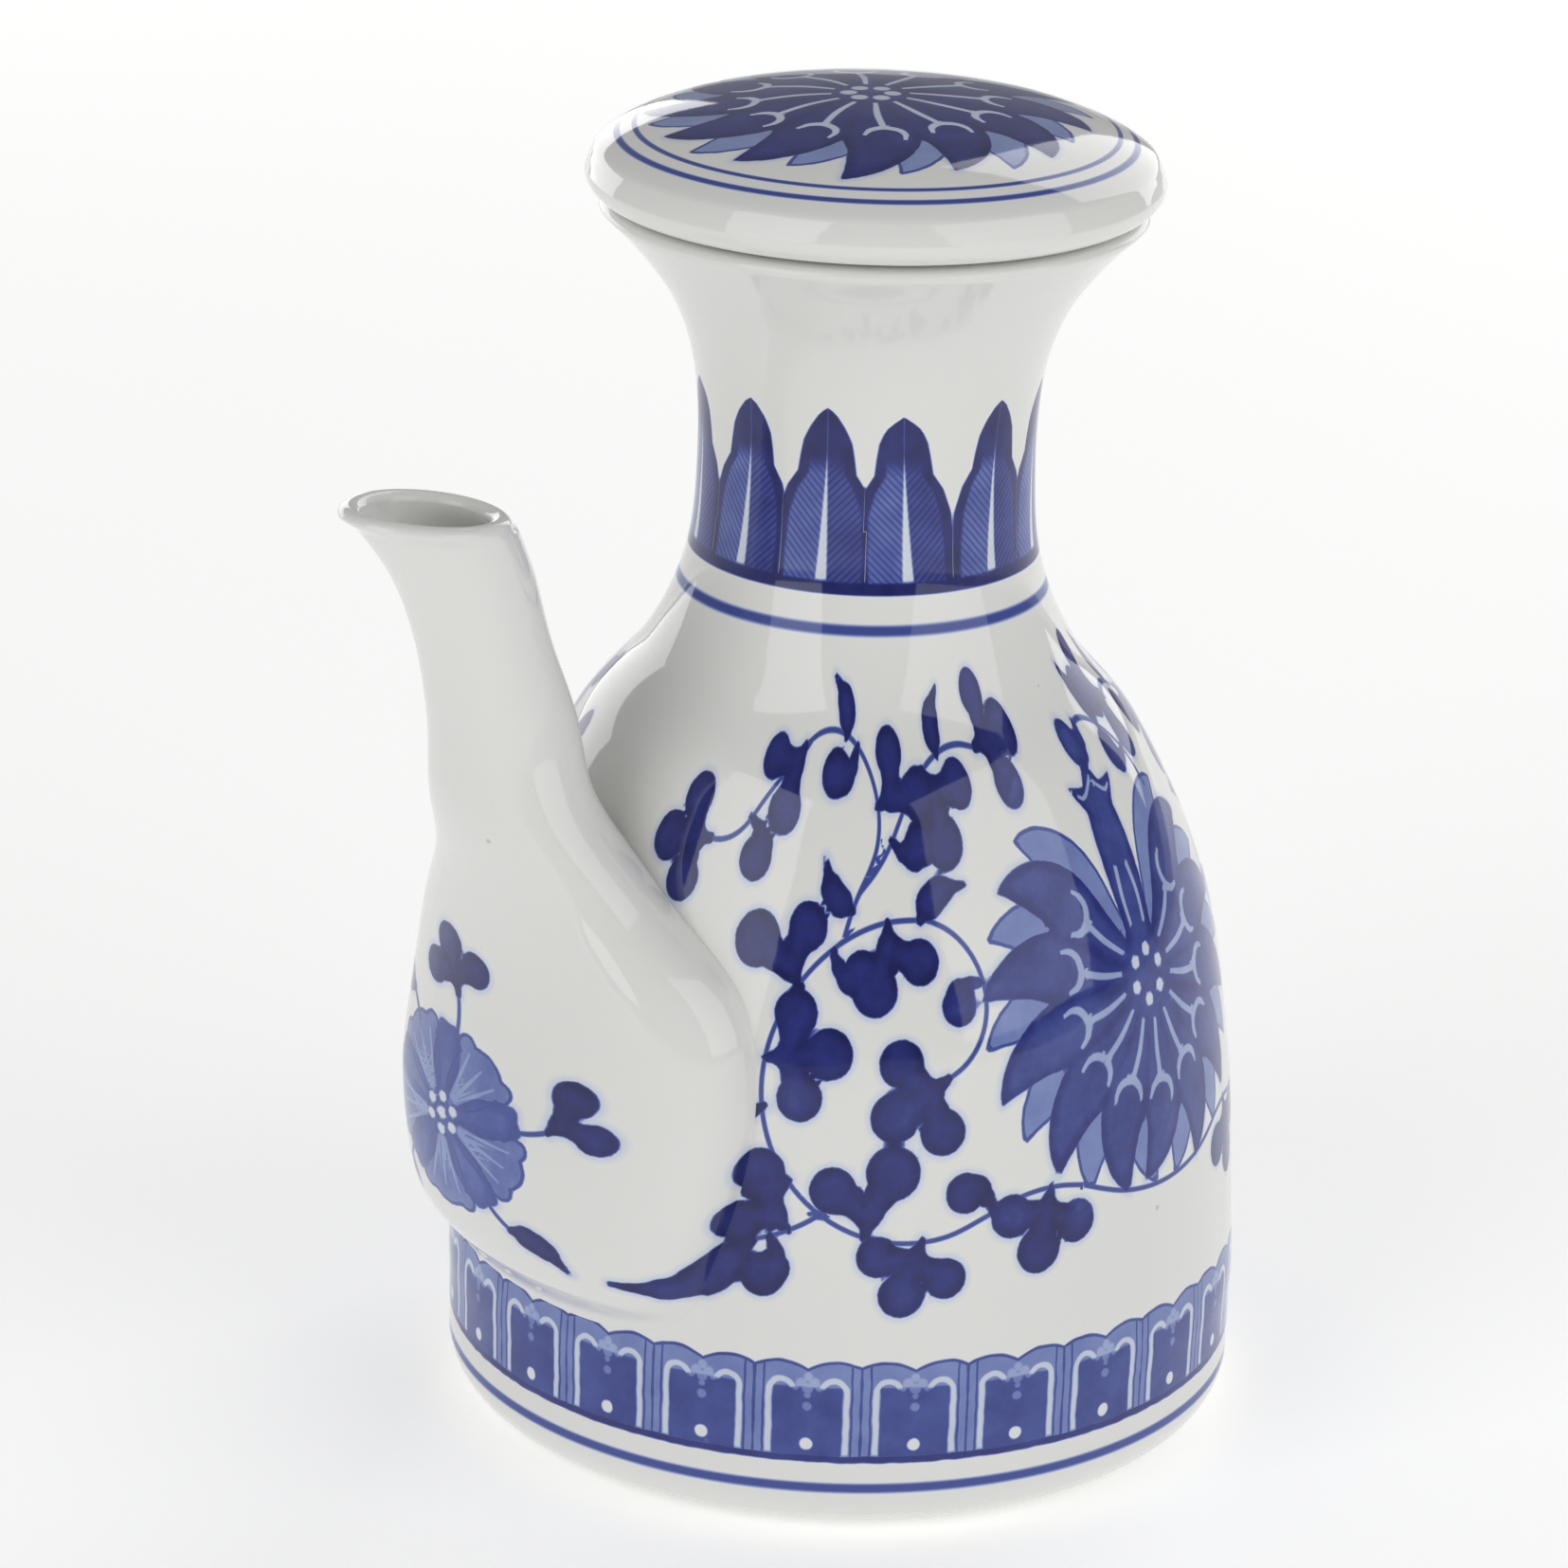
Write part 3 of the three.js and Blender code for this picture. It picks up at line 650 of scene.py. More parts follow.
def glazedPorcelain(name, bands=False):
    # Hard-paste porcelain painted in cobalt under a clear glaze: a cool white body, ink with soft edges
    # and pooled washes, and over both a smooth glassy surface that throws sharp reflections of the lamps.
    material, tree = newMaterial(name)
    place = evenPlace(tree)
    ink = brushInk(tree, place)
    if bands:
        cloud = addNode(tree, "TexNoise", {"Vector": place, "Scale": 0.3, "Detail": 3.0})
        cloud = addNode(tree, "MapRange", {"Value": cloud, "From Min": 0.3, "From Max": 0.7, "To Min": 0.9,
                                           "To Max": 1.06})
        for more in (footBandInk(tree, place, cloud), neckBandInk(tree, place, cloud)):
            ink = addNode(tree, "Math", {0: ink, 1: more}, operation="MAXIMUM")
    colour = addNode(tree, "ValToRGB", {"Fac": ink})
    ramp = colour.node.color_ramp
    for number, (at, code) in enumerate(inkTones):
        stop = ramp.elements[number] if number < 2 else ramp.elements.new(at)
        stop.position, stop.color = at, linear(code)
    # rare iron specks of about 0.3 mm under the glaze
    speck = addNode(tree, "TexVoronoi", {"Vector": place, "Scale": 0.09, "Randomness": 1.0}, gives="Distance")
    speck = addNode(tree, "MapRange", {"Value": speck, "From Min": 0.022, "From Max": 0.03, "To Min": 0.35,
                                       "To Max": 0.0})
    specked = addNode(tree, "Mix", {"Factor": speck, "A": colour, "B": linear("#6B6F78")}, gives="Result",
                      data_type="RGBA")
    # the glaze lies in slow waves of about 12 mm and a fine ripple of about 1.5 mm
    waves = addNode(tree, "TexNoise", {"Vector": place, "Scale": 0.08, "Detail": 1.0})
    ripple = addNode(tree, "TexNoise", {"Vector": place, "Scale": 0.65, "Detail": 2.0})
    height = addNode(tree, "Math", {0: ripple, 1: 0.02, 2: waves}, operation="MULTIPLY_ADD")
    bump = addNode(tree, "Bump", {"Height": height, "Strength": 0.3, "Distance": 0.0006})
    shine = addNode(tree, "BsdfPrincipled", {
        "Base Color": specked, "Roughness": 0.05, "IOR": 1.52, "Normal": bump,
    })
    addNode(tree, "OutputMaterial", {"Surface": shine})
    return material


def barePorcelain(name):
    # Porcelain fired without glaze where pieces rest in the kiln: matte, warmer and fine-grained.
    material, tree = newMaterial(name)
    place = evenPlace(tree)
    grain = addNode(tree, "TexNoise", {"Vector": place, "Scale": 3.5, "Detail": 5.0, "Roughness": 0.65})
    stain = addNode(tree, "TexNoise", {"Vector": place, "Scale": 0.15, "Detail": 3.0})
    colour = addNode(tree, "Mix", {"Factor": stain, "A": linear("#E4E0D6"), "B": linear("#D2CBBB")},
                     gives="Result", data_type="RGBA")
    rough = addNode(tree, "MapRange", {"Value": grain, "From Min": 0.3, "From Max": 0.7, "To Min": 0.55,
                                       "To Max": 0.75})
    bump = addNode(tree, "Bump", {"Height": grain, "Strength": 0.25, "Distance": 0.0002})
    shine = addNode(tree, "BsdfPrincipled",
                    {"Base Color": colour, "Roughness": rough, "IOR": 1.5, "Normal": bump})
    addNode(tree, "OutputMaterial", {"Surface": shine})
    return material


def paperSweep(name):
    # Matte white paper under the object, with only a trace of tooth.
    material, tree = newMaterial(name)
    held = addNode(tree, "TexCoord", gives="Object")
    tooth = addNode(tree, "TexNoise", {"Vector": held, "Scale": 900.0, "Detail": 2.0})
    colour = addNode(tree, "Mix", {"Factor": tooth, "A": linear("#F7F7F6"), "B": linear("#FBFBFA")},
                     gives="Result", data_type="RGBA")
    shine = addNode(tree, "BsdfPrincipled",
                    {"Base Color": colour, "Roughness": 0.85, "Emission Color": linear("#FFFFFF"),
                                             "Emission Strength": 0.3})
    addNode(tree, "OutputMaterial", {"Surface": shine})
    return material


bottle = {
    "barrelRadius": (bottleHigh[0] - bottleLow[0]) / 2, "mouthHeight": bottleHigh[2],
    "barrelHeight": 18.0, "footInset": 6.0, "footCorner": 5.3, "footRingWidth": 5.0, "footRecess": 2.4,
    "floorThickness": 4.0, "wall": 3.0, "waistRadius": 17.3, "mouthRadius": 27.8, "flareHeight": 27.2,
    "columns": 384,
}
barrelRound = 2 * math.pi * bottle["barrelRadius"]  # once round the barrel


def bottleSide():
    # The outer side from the foot's corner to the rim: a smooth line through shares of the change in
    # radius and height, first from barrel to waist, then from waist to mouth.
    waistHeight = bottle["mouthHeight"] - bottle["flareHeight"]
    shoulder = [(0.94, 0.25), (0.8, 0.47), (0.5, 0.66), (0.2, 0.77), (0.04, 0.88), (0, 1)]
    flare = [(0.05, 0.35), (0.25, 0.6), (0.6, 0.8)]
    points = [(bottle["barrelRadius"], bottle["footCorner"]),
              (bottle["barrelRadius"], (bottle["footCorner"] + bottle["barrelHeight"]) / 2),
              (bottle["barrelRadius"], bottle["barrelHeight"])]
    points += [(bottle["waistRadius"] + out * (bottle["barrelRadius"] - bottle["waistRadius"]),
                bottle["barrelHeight"] + up * (waistHeight - bottle["barrelHeight"])) for out, up in shoulder]
    points += [(bottle["waistRadius"] + out * (bottle["mouthRadius"] - bottle["waistRadius"]),
                waistHeight + up * bottle["flareHeight"]) for out, up in flare]
    points.append((bottle["mouthRadius"], bottle["mouthHeight"] - bottle["wall"] / 3))
    return smoothThrough(points, np.linspace(0, len(points) - 1, 4000))


sideLine = bottleSide()


def bottleRadius(height):
    # The outer radius at a height, the foot's corner included.
    corner = arc((bottle["barrelRadius"] - bottle["footInset"], bottle["footCorner"]),
                 (bottle["footInset"], bottle["footCorner"]), -90, 0, 60)
    line = np.vstack([corner[:-1], sideLine])
    return np.interp(height, line[:, 1], line[:, 0])


def pacedRows(line, paces):
    # The line with rows close together where it is painted finely: each (up to height, step) in turn.
    rows, low = [], -1.0
    for high, step in paces:
        part = line[(line[:, 1] >= low) & (line[:, 1] <= high)]
        rows.append(evenly(part, step)[:-1])
        low = rows[-1][-1, 1] + step / 2
    return np.vstack([*rows, line[-1:]])


def bottleOutline():
    # From the middle of the underside out over the foot ring, up the side, over the rim and back down
    # inside to the middle of the floor. The inside is the outside moved inwards by the wall.
    ringOut = bottle["barrelRadius"] - bottle["footInset"]
    ringIn = ringOut - bottle["footRingWidth"]
    under = np.array([(3, bottle["footRecess"]), (12, bottle["footRecess"]), (22, bottle["footRecess"]),
                      (ringIn - 3, bottle["footRecess"]),
                      (ringIn - 0.9, bottle["footRecess"] - 0.15),
                      (ringIn - 0.1, bottle["footRecess"] - 0.9), (ringIn + 0.2, 0.8),
                      (ringIn + 0.5, 0.22), (ringIn + 1.1, 0)])
    foot = np.array([(ringIn + 2.4, 0), (ringOut - 1.0, 0)])
    corner = arc((ringOut, bottle["footCorner"]), (bottle["footInset"], bottle["footCorner"]), -88, -4, 9)
    side = pacedRows(sideLine, [(20, 1.1), (84, 0.62), (114, 0.56), (140, 1.3)])
    slope = np.gradient(sideLine, axis=0)
    slope /= np.linalg.norm(slope, axis=1, keepdims=True)
    inner = sideLine + bottle["wall"] * np.stack([-slope[:, 1], slope[:, 0]], 1)
    floorLevel = bottle["footRecess"] + bottle["floorThickness"]
    inner = inner[(inner[:, 1] > floorLevel + 3) & (inner[:, 1] < bottle["mouthHeight"] - 1.2)]
    rimMiddle = (inner[-1, 0] + sideLine[-1, 0]) / 2
    rimHalf = sideLine[-1, 0] - rimMiddle
    rim = arc((rimMiddle, bottle["mouthHeight"] - 1.0), (rimHalf, 1.0), 12, 168, 11)
    inner = evenly(inner[::-1], 2.6)
    floor = np.array([(inner[-1, 0] - 0.8, floorLevel + 1.0), (inner[-1, 0] - 3, floorLevel + 0.1),
                      (20, floorLevel), (8, floorLevel)])
    outline = np.vstack([under, foot, corner, side, rim, inner, floor])
    return outline, (0, bottle["footRecess"]), (0, floorLevel), (len(under) - 1, len(under) + len(foot))


outline, underPole, floorPole, footRows = bottleOutline()
rings = ringsOf(outline, bottle["columns"])
porcelainBottle, bottlePoints = skin(
    "porcelain_bottle", rings, (axisX, 0, underPole[1]), (axisX, 0, floorPole[1])
)
columns = bottle["columns"]
outerRow = np.repeat(np.arange(len(outline)), columns)
rimRow = int(outline[:, 1].argmax())
outside = np.r_[outerRow < rimRow, False, False] & (bottlePoints[:, 2] > 2)


def barrelPlane(points):
    # Unrolls the barrel: degrees counter-clockwise from the spout as millimetres on the barrel, and height.
    turn = np.degrees(np.arctan2(points[:, 1], points[:, 0] - axisX)) - 180
    turn = (turn + 180) % 360 - 180
    return np.stack([turn * barrelRound / 360, points[:, 2]], 1)


flowerAt = (78.5, 55)
flower = chrysanthemum()


def bothSides(strokes):
    # The strokes, and their mirror image on the spout's other side.
    return strokes + moved(strokes, mirror=True)


def beyondFlower(strokes):
    # The scroll again, mirrored to the flower's far side.
    return moved(strokes, across=2 * flowerAt[0], mirror=True)


scrollStems, scrollLeaves = grown(scrollVines)
sideStems, sideLeaves = grown(spoutSideVines)
flowerStems, flowerLeaves = grown(flowerVines)
leafStrokes = bothSides(scrollLeaves + beyondFlower(scrollLeaves) + sideLeaves + flowerLeaves)
darkPetals = bothSides(moved(flower["dark"], *flowerAt))
petalStrokes = bothSides(moved(flower["light"], *flowerAt))
stemStrokes = bothSides(scrollStems + beyondFlower(scrollStems) + sideStems + flowerStems)
veinStrokes = bothSides(moved(flower["veins"], *flowerAt))
centreDots = bothSides([[(x + flowerAt[0], y + flowerAt[1], r) for x, y, r in flower["dots"]]])


def neckLeaves(points):
    # Twelve upright leaves: each point belongs to the leaf whose edge it is deepest inside. Kept are the
    # distance to that leaf's edge and the distance to the right of its midrib.
    turn = np.degrees(np.arctan2(points[:, 1], points[:, 0] - axisX)) - 180
    radius = np.hypot(points[:, 1], points[:, 0] - axisX)
    up = points[:, 2]
    gap, rib = np.full(len(points), far), np.full(len(points), far)
    for number in range(12):
        centre = 10 + 30 * number + 0.8 * math.sin(2.6 * number)
        lean = 0.18 * math.sin(1.9 * number + 1)
        tip = 111.8 + 0.4 * math.sin(2.2 * number)
        heights = np.array([90, 93, 97, 101, 103.5, 105.2, 107, 108.6, 110, tip - 0.5, tip, tip + 4])
        widths = np.array([4.9, 5.2, 5.2, 4.9, 4.1, 3.0, 2.75, 2.45, 1.8, 0.75, 0.0, -5.0])
        away = (turn - centre + 180) % 360 - 180
        across = np.radians(away) * radius - lean * (up - 93) / 3
        own = (np.abs(across) - np.interp(up, heights, widths)) * 0.9
        wins = own < gap
        gap[wins], rib[wins] = own[wins], across[wins]
    return gap, rib


def paintPiece(points, plane, shown, strokes, around, share=None):
    # Works out every distance that the porcelain's material reads, only for the points that are shown.
    values = {name: np.full(len(points), far) for name in
              ("leafGap", "petalGap", "stemSide", "stemBeyond", "veinSide", "veinBeyond", "dotGap")}
    flat = plane[shown]
    leaves = brushGap(flat, strokes["leaves"], around, pinch=0.4) - paint["press"]
    values["leafGap"][shown] = np.minimum(leaves, brushGap(flat, strokes["dark"], around))
    values["petalGap"][shown] = brushGap(flat, strokes["light"], around, 0.15)
    values["stemSide"][shown], values["stemBeyond"][shown] = lineOffsets(flat, strokes["stems"], around)
    values["veinSide"][shown], values["veinBeyond"][shown] = lineOffsets(flat, strokes["veins"], around)
    values["dotGap"][shown] = dotGap(flat, strokes["dots"], around)
    values["inkShare"] = np.ones(len(points)) if share is None else share
    return values


bottlePlane = barrelPlane(bottlePoints)
bottleValues = paintPiece(
    bottlePoints, bottlePlane, outside,
    {"leaves": leafStrokes, "dark": darkPetals, "light": petalStrokes, "stems": stemStrokes,
     "veins": veinStrokes, "dots": [dot for group in centreDots for dot in group]},
    barrelRound,
    np.where(np.hypot(np.abs(bottlePlane[:, 0]) - flowerAt[0], bottlePlane[:, 1] - flowerAt[1]) < 25, 0.86,
             1.0),
)
# painted lines round the foot and under the neck: height, half width
bottleRings = [(5.65, 0.45), (89.5, 0.45)]
for height, half in bottleRings:
    off = bottlePoints[:, 2] - height
    wins = outside & (np.abs(off) - half < bottleValues["stemBeyond"])
    bottleValues["stemSide"][wins] = off[wins] / half
    bottleValues["stemBeyond"][wins] = np.abs(off[wins]) - half
neckGap, neckRib = np.full(len(bottlePoints), far), np.full(len(bottlePoints), far)
onNeck = outside & (bottlePoints[:, 2] > 88) & (bottlePoints[:, 2] < 118)
neckGap[onNeck], neckRib[onNeck] = neckLeaves(bottlePoints[onNeck])
keepOnPiece(porcelainBottle, {**bottleValues, "neckGap": neckGap, "neckRib": neckRib})
porcelainBottle.data.materials.append(glazedPorcelain("cobalt_painted_porcelain", bands=True))
porcelainBottle.data.materials.append(barePorcelain("unglazed_foot_ring"))
slots = np.zeros(len(porcelainBottle.data.polygons), np.int32)
slots[footRows[0] * columns : footRows[1] * columns] = 1
porcelainBottle.data.polygons.foreach_set("material_index", slots)
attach(porcelainBottle, "bottle")
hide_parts("bottle_body")
print("bottle painted")


spout = {
    "foot": 20.3, "drop": 24.6, "rimTilt": 0.11, "wall": 2.3, "bulbStandOff": 6.0, "bulbHalfWidth": 26.0,
    "bulbHalfDepth": 14.0, "throatStandOff": 11.2, "throatRadius": 6.8, "rimStandOff": 18.9, "rimRadius": 8.2,
    "lip": 1.2, "columns": 240,
    "sink": 0.6, "seam": 1.3,  # how deep its hidden back lies in the bottle, and the width of the luted seam
}


def spoutSections(inset):
    # Height, reach of the outer face, half width and half depth at each section from root to rim.
    bulb, wide, deep, throat, narrow = (spout[k] for k in ("bulbStandOff", "bulbHalfWidth", "bulbHalfDepth",
                                                       "throatStandOff", "throatRadius"))
    rimHeight = bottle["mouthHeight"] - spout["drop"]
    table = np.array([
        (-0.05, -4, 0.8 * wide, 0.7 * deep), (0.0, 0, 0.8 * wide, 0.7 * deep),
        (0.07, 0.8 * bulb, 0.9 * wide, 0.85 * deep), (0.2, bulb, wide, deep),
        (0.32, 0.8 * bulb, wide, deep), (0.43, 0.7 * bulb, 0.9 * wide, 0.9 * deep),
        (0.53, 0.9 * bulb, 0.6 * wide, 0.65 * deep), (0.63, 0.75 * throat, 1.45 * narrow, 1.15 * narrow),
        (0.73, 0.85 * throat, 1.1 * narrow, 1.1 * narrow), (0.83, throat, narrow, narrow),
        (0.92, 0.5 * (throat + spout["rimStandOff"]) - 1, 1.05 * narrow, 1.05 * narrow),
        (1.0, spout["rimStandOff"], spout["rimRadius"], spout["rimRadius"]),
    ])
    heights = spout["foot"] + table[:, 0] * (rimHeight - spout["foot"])
    return np.stack([heights, bottle["barrelRadius"] + table[:, 1] - inset, table[:, 2] - inset,
                     table[:, 3] - inset], 1)


def spoutRings(inset, shares, sink, seam):
    # Ellipses carried up the sections: outwards reach less depth plus depth times cosine, sideways width
    # times sine, height with the rim's tilt. Near the bottle each point is held outside its surface by a
    # smooth maximum over the seam's width.
    shares = np.asarray(shares, float)
    column = smoothThrough(spoutSections(inset), shares * 11)
    turn = np.linspace(0, 2 * math.pi, spout["columns"], endpoint=False)
    out, aside = np.cos(turn)[None], np.sin(turn)[None]
    height, reach, wide, deep = (column[:, k, None] for k in range(4))
    nearRim = (np.clip((shares[:, None] - 0.8) / 0.2, 0, None)) ** 2
    lip = spout["lip"] * nearRim * np.clip(out, 0, None) ** 3
    x = reach - deep + deep * out + lip
    rimMiddle = bottle["barrelRadius"] + spout["rimStandOff"] - spout["rimRadius"]
    y = -aside * wide
    z = height + nearRim * spout["rimTilt"] * (x - rimMiddle)
    radius = np.hypot(x, y)
    against = bottleRadius(z) - sink
    excess = radius - against
    held = against + (excess + np.sqrt(excess**2 + seam**2)) / 2
    scale = held / np.maximum(radius, 1e-6)
    return np.stack([axisX - x * scale, y * scale, z], -1)


# rows evenly up the spout, worked out from the sections' heights
fine = np.linspace(0, 1, 2000)
fineHeight = smoothThrough(spoutSections(0), fine * 11)[:, 0]
rowHeights = np.linspace(fineHeight[0], fineHeight[-1], 200)
shares = np.interp(rowHeights, fineHeight, fine)
outer = spoutRings(0, shares, spout["sink"], spout["seam"])
bore = spoutRings(spout["wall"], np.interp(np.linspace(fineHeight[-1], 36, 46), fineHeight, fine), -0.4, 0.6)
# rounded rim: half an ellipse from the outer edge over to the bore's edge
rimTurn = np.radians(np.linspace(14, 166, 9))[:, None, None]
rimHeight = 1.0
outer[-4:, :, 2] -= np.array([0.25, 0.5, 0.75, 1.0])[:, None] * rimHeight
edgeOut = outer[-1]
bore[:, :, 2] -= np.clip(1 - np.arange(len(bore)) / 6, 0, 1)[:, None] * rimHeight
edgeIn = bore[0]
rimMiddle = (edgeOut + edgeIn) / 2
rim = rimMiddle + (edgeOut - edgeIn) / 2 * np.cos(rimTurn) + np.array((0, 0, rimHeight)) * np.sin(rimTurn)
rings = np.concatenate([outer, rim, bore])
porcelainSpout, spoutPoints = skin("porcelain_spout", rings, outer[0].mean(0), bore[-1].mean(0))


def bulbPlane(points):
    # Across the bulb, squeezed, with the viewer's right positive when facing the spout; and height.
    return np.stack([-points[:, 1] / spoutSqueeze, points[:, 2]], 1)


blossom = spoutBlossom()
sprayStems, sprayLeaves = spoutSpray()
bloomAt = (spoutFlower["across"], spoutFlower["up"])
spoutPlane = bulbPlane(spoutPoints)
spoutShown = np.r_[np.repeat(np.arange(len(rings)) < len(outer), spout["columns"]), False, False]
spoutShown &= np.hypot(spoutPoints[:, 0] - axisX, spoutPoints[:, 1]) > bottleRadius(spoutPoints[:, 2]) - 0.5
# the spray is painted only on the half of each ring that faces away from the bottle
frontHalf = np.cos(np.linspace(0, 2 * math.pi, spout["columns"], endpoint=False)) > 0
bulbFront = np.r_[np.tile(frontHalf, len(rings)), False, False]
onBulb = paintPiece(
    spoutPoints, spoutPlane, spoutShown & bulbFront,
    {"leaves": sprayLeaves, "dark": moved(blossom["dark"], *bloomAt),
     "light": moved(blossom["light"], *bloomAt),
     "stems": sprayStems, "veins": moved(blossom["veins"], *bloomAt),
     "dots": [(x + bloomAt[0], y + bloomAt[1], r) for x, y, r in blossom["dots"]]},
    0,
)
fromBarrel = paintPiece(
    spoutPoints, barrelPlane(spoutPoints), spoutShown,
    {"dark": [], "leaves": bothSides([s for s in sideLeaves if max(z for _, z, _ in s) < 52]),
     "light": [], "stems": [], "veins": [], "dots": []},
    0,
)
onBulb["leafGap"] = np.minimum(onBulb["leafGap"], fromBarrel["leafGap"])
fromBloom = np.hypot(spoutPlane[:, 0] - bloomAt[0], spoutPlane[:, 1] - bloomAt[1])
onBulb["inkShare"] = np.where(fromBloom < 10.2, 0.66, 1.0)
keepOnPiece(porcelainSpout, onBulb)
porcelainSpout.data.materials.append(glazedPorcelain("cobalt_painted_spout_porcelain"))
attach(porcelainSpout, "bottle")
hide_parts("spout")
print("spout painted")


lid = {
    "base": capLow[2], "radius": (capHigh[0] - capLow[0]) / 2, "rise": capHigh[2] - capLow[2], "edge": 2.4,
    "thickness": 4.6, "ringRadius": (ringHigh[0] - ringLow[0]) / 2, "ringWall": 2.8, "columns": 480,
    "facing": 36.0,  # degrees that the rosette is turned from the part's own axes
}


def lidOutline():
    # From the middle of the hollow underneath, out over the flat underside, round the edge and over
    # the crown.
    hollowRadius = lid["ringRadius"] - lid["ringWall"]
    hollowTop = lid["base"] + lid["rise"] - lid["thickness"]
    hollow = arc((0, lid["base"] + 1), (hollowRadius, hollowTop - lid["base"] - 1), 82, 2, 12)
    base = np.array([(hollowRadius + 0.05, lid["base"] + 0.35), (hollowRadius + 0.4, lid["base"]),
                     (lid["ringRadius"] + 3, lid["base"]), (lid["radius"] - lid["edge"] - 0.4, lid["base"])])
    edge = arc((lid["radius"] - lid["edge"], lid["base"] + lid["edge"]), (lid["edge"], lid["edge"]), -88,
               -4, 14)
    shares = [(1, lid["edge"] / lid["rise"]), (0.98, 0.37), (0.95, 0.48), (0.85, 0.63), (0.7, 0.77),
              (0.5, 0.88), (0.25, 0.97), (0, 1)]
    crown = smoothThrough([(out * lid["radius"], lid["base"] + up * lid["rise"]) for out, up in shares],
                          np.linspace(0, 7, 3000))
    crown = evenly(crown, 0.24)[:-1]
    return np.vstack([hollow, base, edge, crown]), hollowTop, len(hollow) + len(base)


outline, hollowTop, crownRow = lidOutline()
rings = ringsOf(outline, lid["columns"])
porcelainLid, lidPoints = skin(
    "porcelain_lid", rings, (axisX, 0, hollowTop), (axisX, 0, lid["base"] + lid["rise"])
)
turn = math.radians(lid["facing"])
flat = lidPoints[:, :2] - (axisX, 0)
lidPlane = np.stack([flat[:, 0] * math.cos(turn) - flat[:, 1] * math.sin(turn),
                     flat[:, 0] * math.sin(turn) + flat[:, 1] * math.cos(turn)], 1)
lidShown = np.r_[np.repeat(np.arange(len(rings)) > crownRow, lid["columns"]), False, True]
rosette = lidBlossom()
rosetteAt = (-0.8, 0.0)
lidValues = paintPiece(
    lidPoints, lidPlane, lidShown,
    {"leaves": [], "dark": moved(rosette["dark"], *rosetteAt),
     "light": moved(rosette["light"], *rosetteAt), "stems": [],
     "veins": moved(rosette["veins"], *rosetteAt),
     "dots": [(x + rosetteAt[0], y, r) for x, y, r in rosette["dots"]]},
    0,
)
lidRadiusHere = np.hypot(flat[:, 0], flat[:, 1])
for radius, half in ((24.4, 0.22), (26.15, 0.27)):  # the two painted rings: radius, half width
    off = lidRadiusHere - radius
    wins = lidShown & (np.abs(off) - half < lidValues["stemBeyond"])
    lidValues["stemSide"][wins] = off[wins] / half
    lidValues["stemBeyond"][wins] = np.abs(off[wins]) - half
keepOnPiece(porcelainLid, lidValues)
porcelainLid.data.materials.append(glazedPorcelain("cobalt_painted_lid_porcelain"))
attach(porcelainLid, "lid")
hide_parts("lid_cap")
print("lid painted")


def ringOutline():
    # The locating ring's closed section: a wall with every corner rounded.
    inner, outerRing = lid["ringRadius"] - lid["ringWall"], lid["ringRadius"]
    low, high = ringLow[2], ringHigh[2]
    corner, fine = 0.7, 0.2  # corner radii at the foot of the ring and at its top
    corners = [arc((outerRing - corner, low + corner), (corner, corner), -90, 0, 7),
               arc((outerRing - fine, high - fine), (fine, fine), 0, 90, 4),
               arc((inner + fine, high - fine), (fine, fine), 90, 180, 4),
               arc((inner + corner, low + corner), (corner, corner), 180, 270, 7)]
    return np.vstack(corners)


lidRing, _ = skin("lid_locating_ring", ringsOf(ringOutline(), 192))
lidRing.data.materials.append(barePorcelain("bare_ring_porcelain"))
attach(lidRing, "lid")
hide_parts("lid_ring")
print("ring made")


floorMesh = bpy.data.meshes.new("paper_floor")
floorMesh.from_pydata([(-6, -6, 0), (6, -6, 0), (6, 6, 0), (-6, 6, 0)], [], [(0, 1, 2, 3)])
floor = bpy.data.objects.new("paper_floor", floorMesh)
bpy.context.scene.collection.objects.link(floor)
floor.data.materials.append(paperSweep("white_paper"))

view = {"azimuth": 324.0, "out": 607, "height": 287, "yaw": -0.7, "pitch": 20, "roll": 1.7, "lens": 142.4}
lamps = {  # azimuth, elevation, distance in metres, width, height, brightness of its face
    "leftSoftbox": (282, 25, 1.1, 0.68, 1.0, 1.75),
    "rightSoftbox": (22, 25, 1.1, 1.0, 1.0, 1.25),
    "farRightSoftbox": (112, 25, 1.2, 0.8, 1.0, 1.6),
    "backSoftbox": (176, 8, 1.2, 1.1, 0.42, 1.9),
}


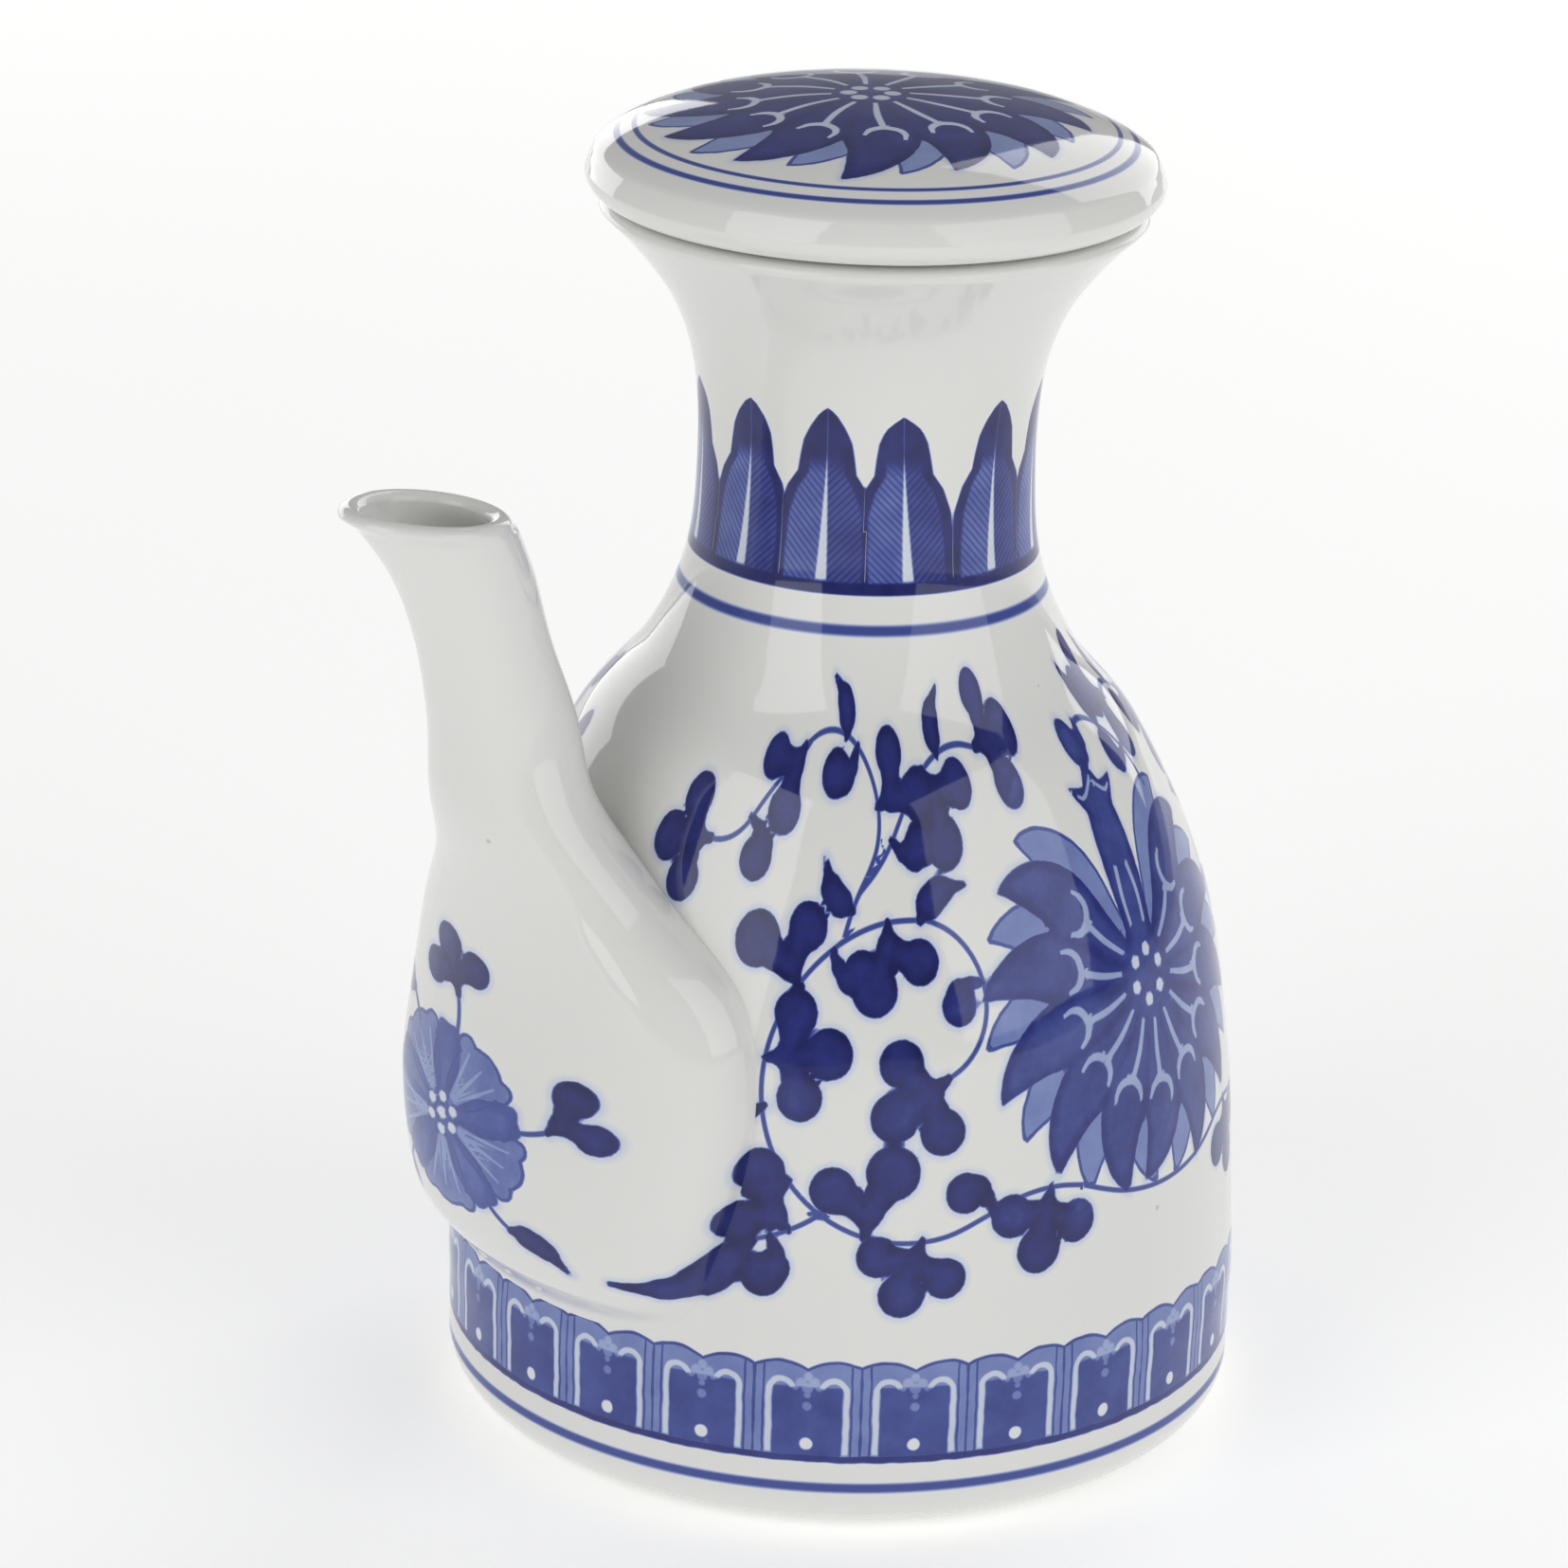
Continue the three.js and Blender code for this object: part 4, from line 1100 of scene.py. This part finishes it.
def placeFrom(azimuth, elevation, distance):
    # Azimuth 0 lies towards -Y and turns towards +X.
    around, up = math.radians(azimuth), math.radians(elevation)
    out = Vector((math.sin(around) * math.cos(up), -math.cos(around) * math.cos(up), math.sin(up)))
    return out * distance


for name, (azimuth, elevation, distance, width, height, brightness) in lamps.items():
    light = bpy.data.lights.new(name, "AREA")
    light.shape = "RECTANGLE"
    light.size, light.size_y = width, height
    light.energy = brightness * math.pi * width * height
    lamp = bpy.data.objects.new(name, light)
    aim = Vector((0, 0, 0.07))
    lamp.location = aim + placeFrom(azimuth, elevation, distance)
    lamp.rotation_euler = (lamp.location - aim).to_track_quat("Z", "Y").to_euler()
    bpy.context.scene.collection.objects.link(lamp)

world = bpy.data.worlds.new("white_studio")
world.use_nodes = True
world.node_tree.nodes.clear()
glow = addNode(world.node_tree, "Background", {"Color": linear("#FFFFFF"), "Strength": 0.3})
addNode(world.node_tree, "OutputWorld", {"Surface": glow})
bpy.context.scene.world = world
bpy.context.scene.view_settings.view_transform = "Standard"

cameraData = bpy.data.cameras.new("camera")
cameraData.lens, cameraData.sensor_width = view["lens"], 36.0
cameraData.clip_start, cameraData.clip_end = 0.05, 20
camera = bpy.data.objects.new("camera", cameraData)
yaw, pitch, roll = (math.radians(view[k]) for k in ("yaw", "pitch", "roll"))
forward = Vector((math.sin(yaw) * math.cos(pitch), math.cos(yaw) * math.cos(pitch), -math.sin(pitch)))
right = Vector((math.cos(yaw), -math.sin(yaw), 0))
upward = right.cross(forward)
tiltedRight = math.cos(roll) * right + math.sin(roll) * upward
tiltedUp = -math.sin(roll) * right + math.cos(roll) * upward
turnedView = Matrix.Rotation(math.radians(view["azimuth"]), 3, "Z")
columnsOfCamera = Matrix([turnedView @ v for v in (tiltedRight, tiltedUp, -forward)]).transposed()
stand = turnedView @ Vector((0, -view["out"], view["height"])) + Vector((axisX, 0, 0))
camera.matrix_world = Matrix.Translation(stand * mm) @ columnsOfCamera.to_4x4()
bpy.context.scene.collection.objects.link(camera)
bpy.context.scene.camera = camera
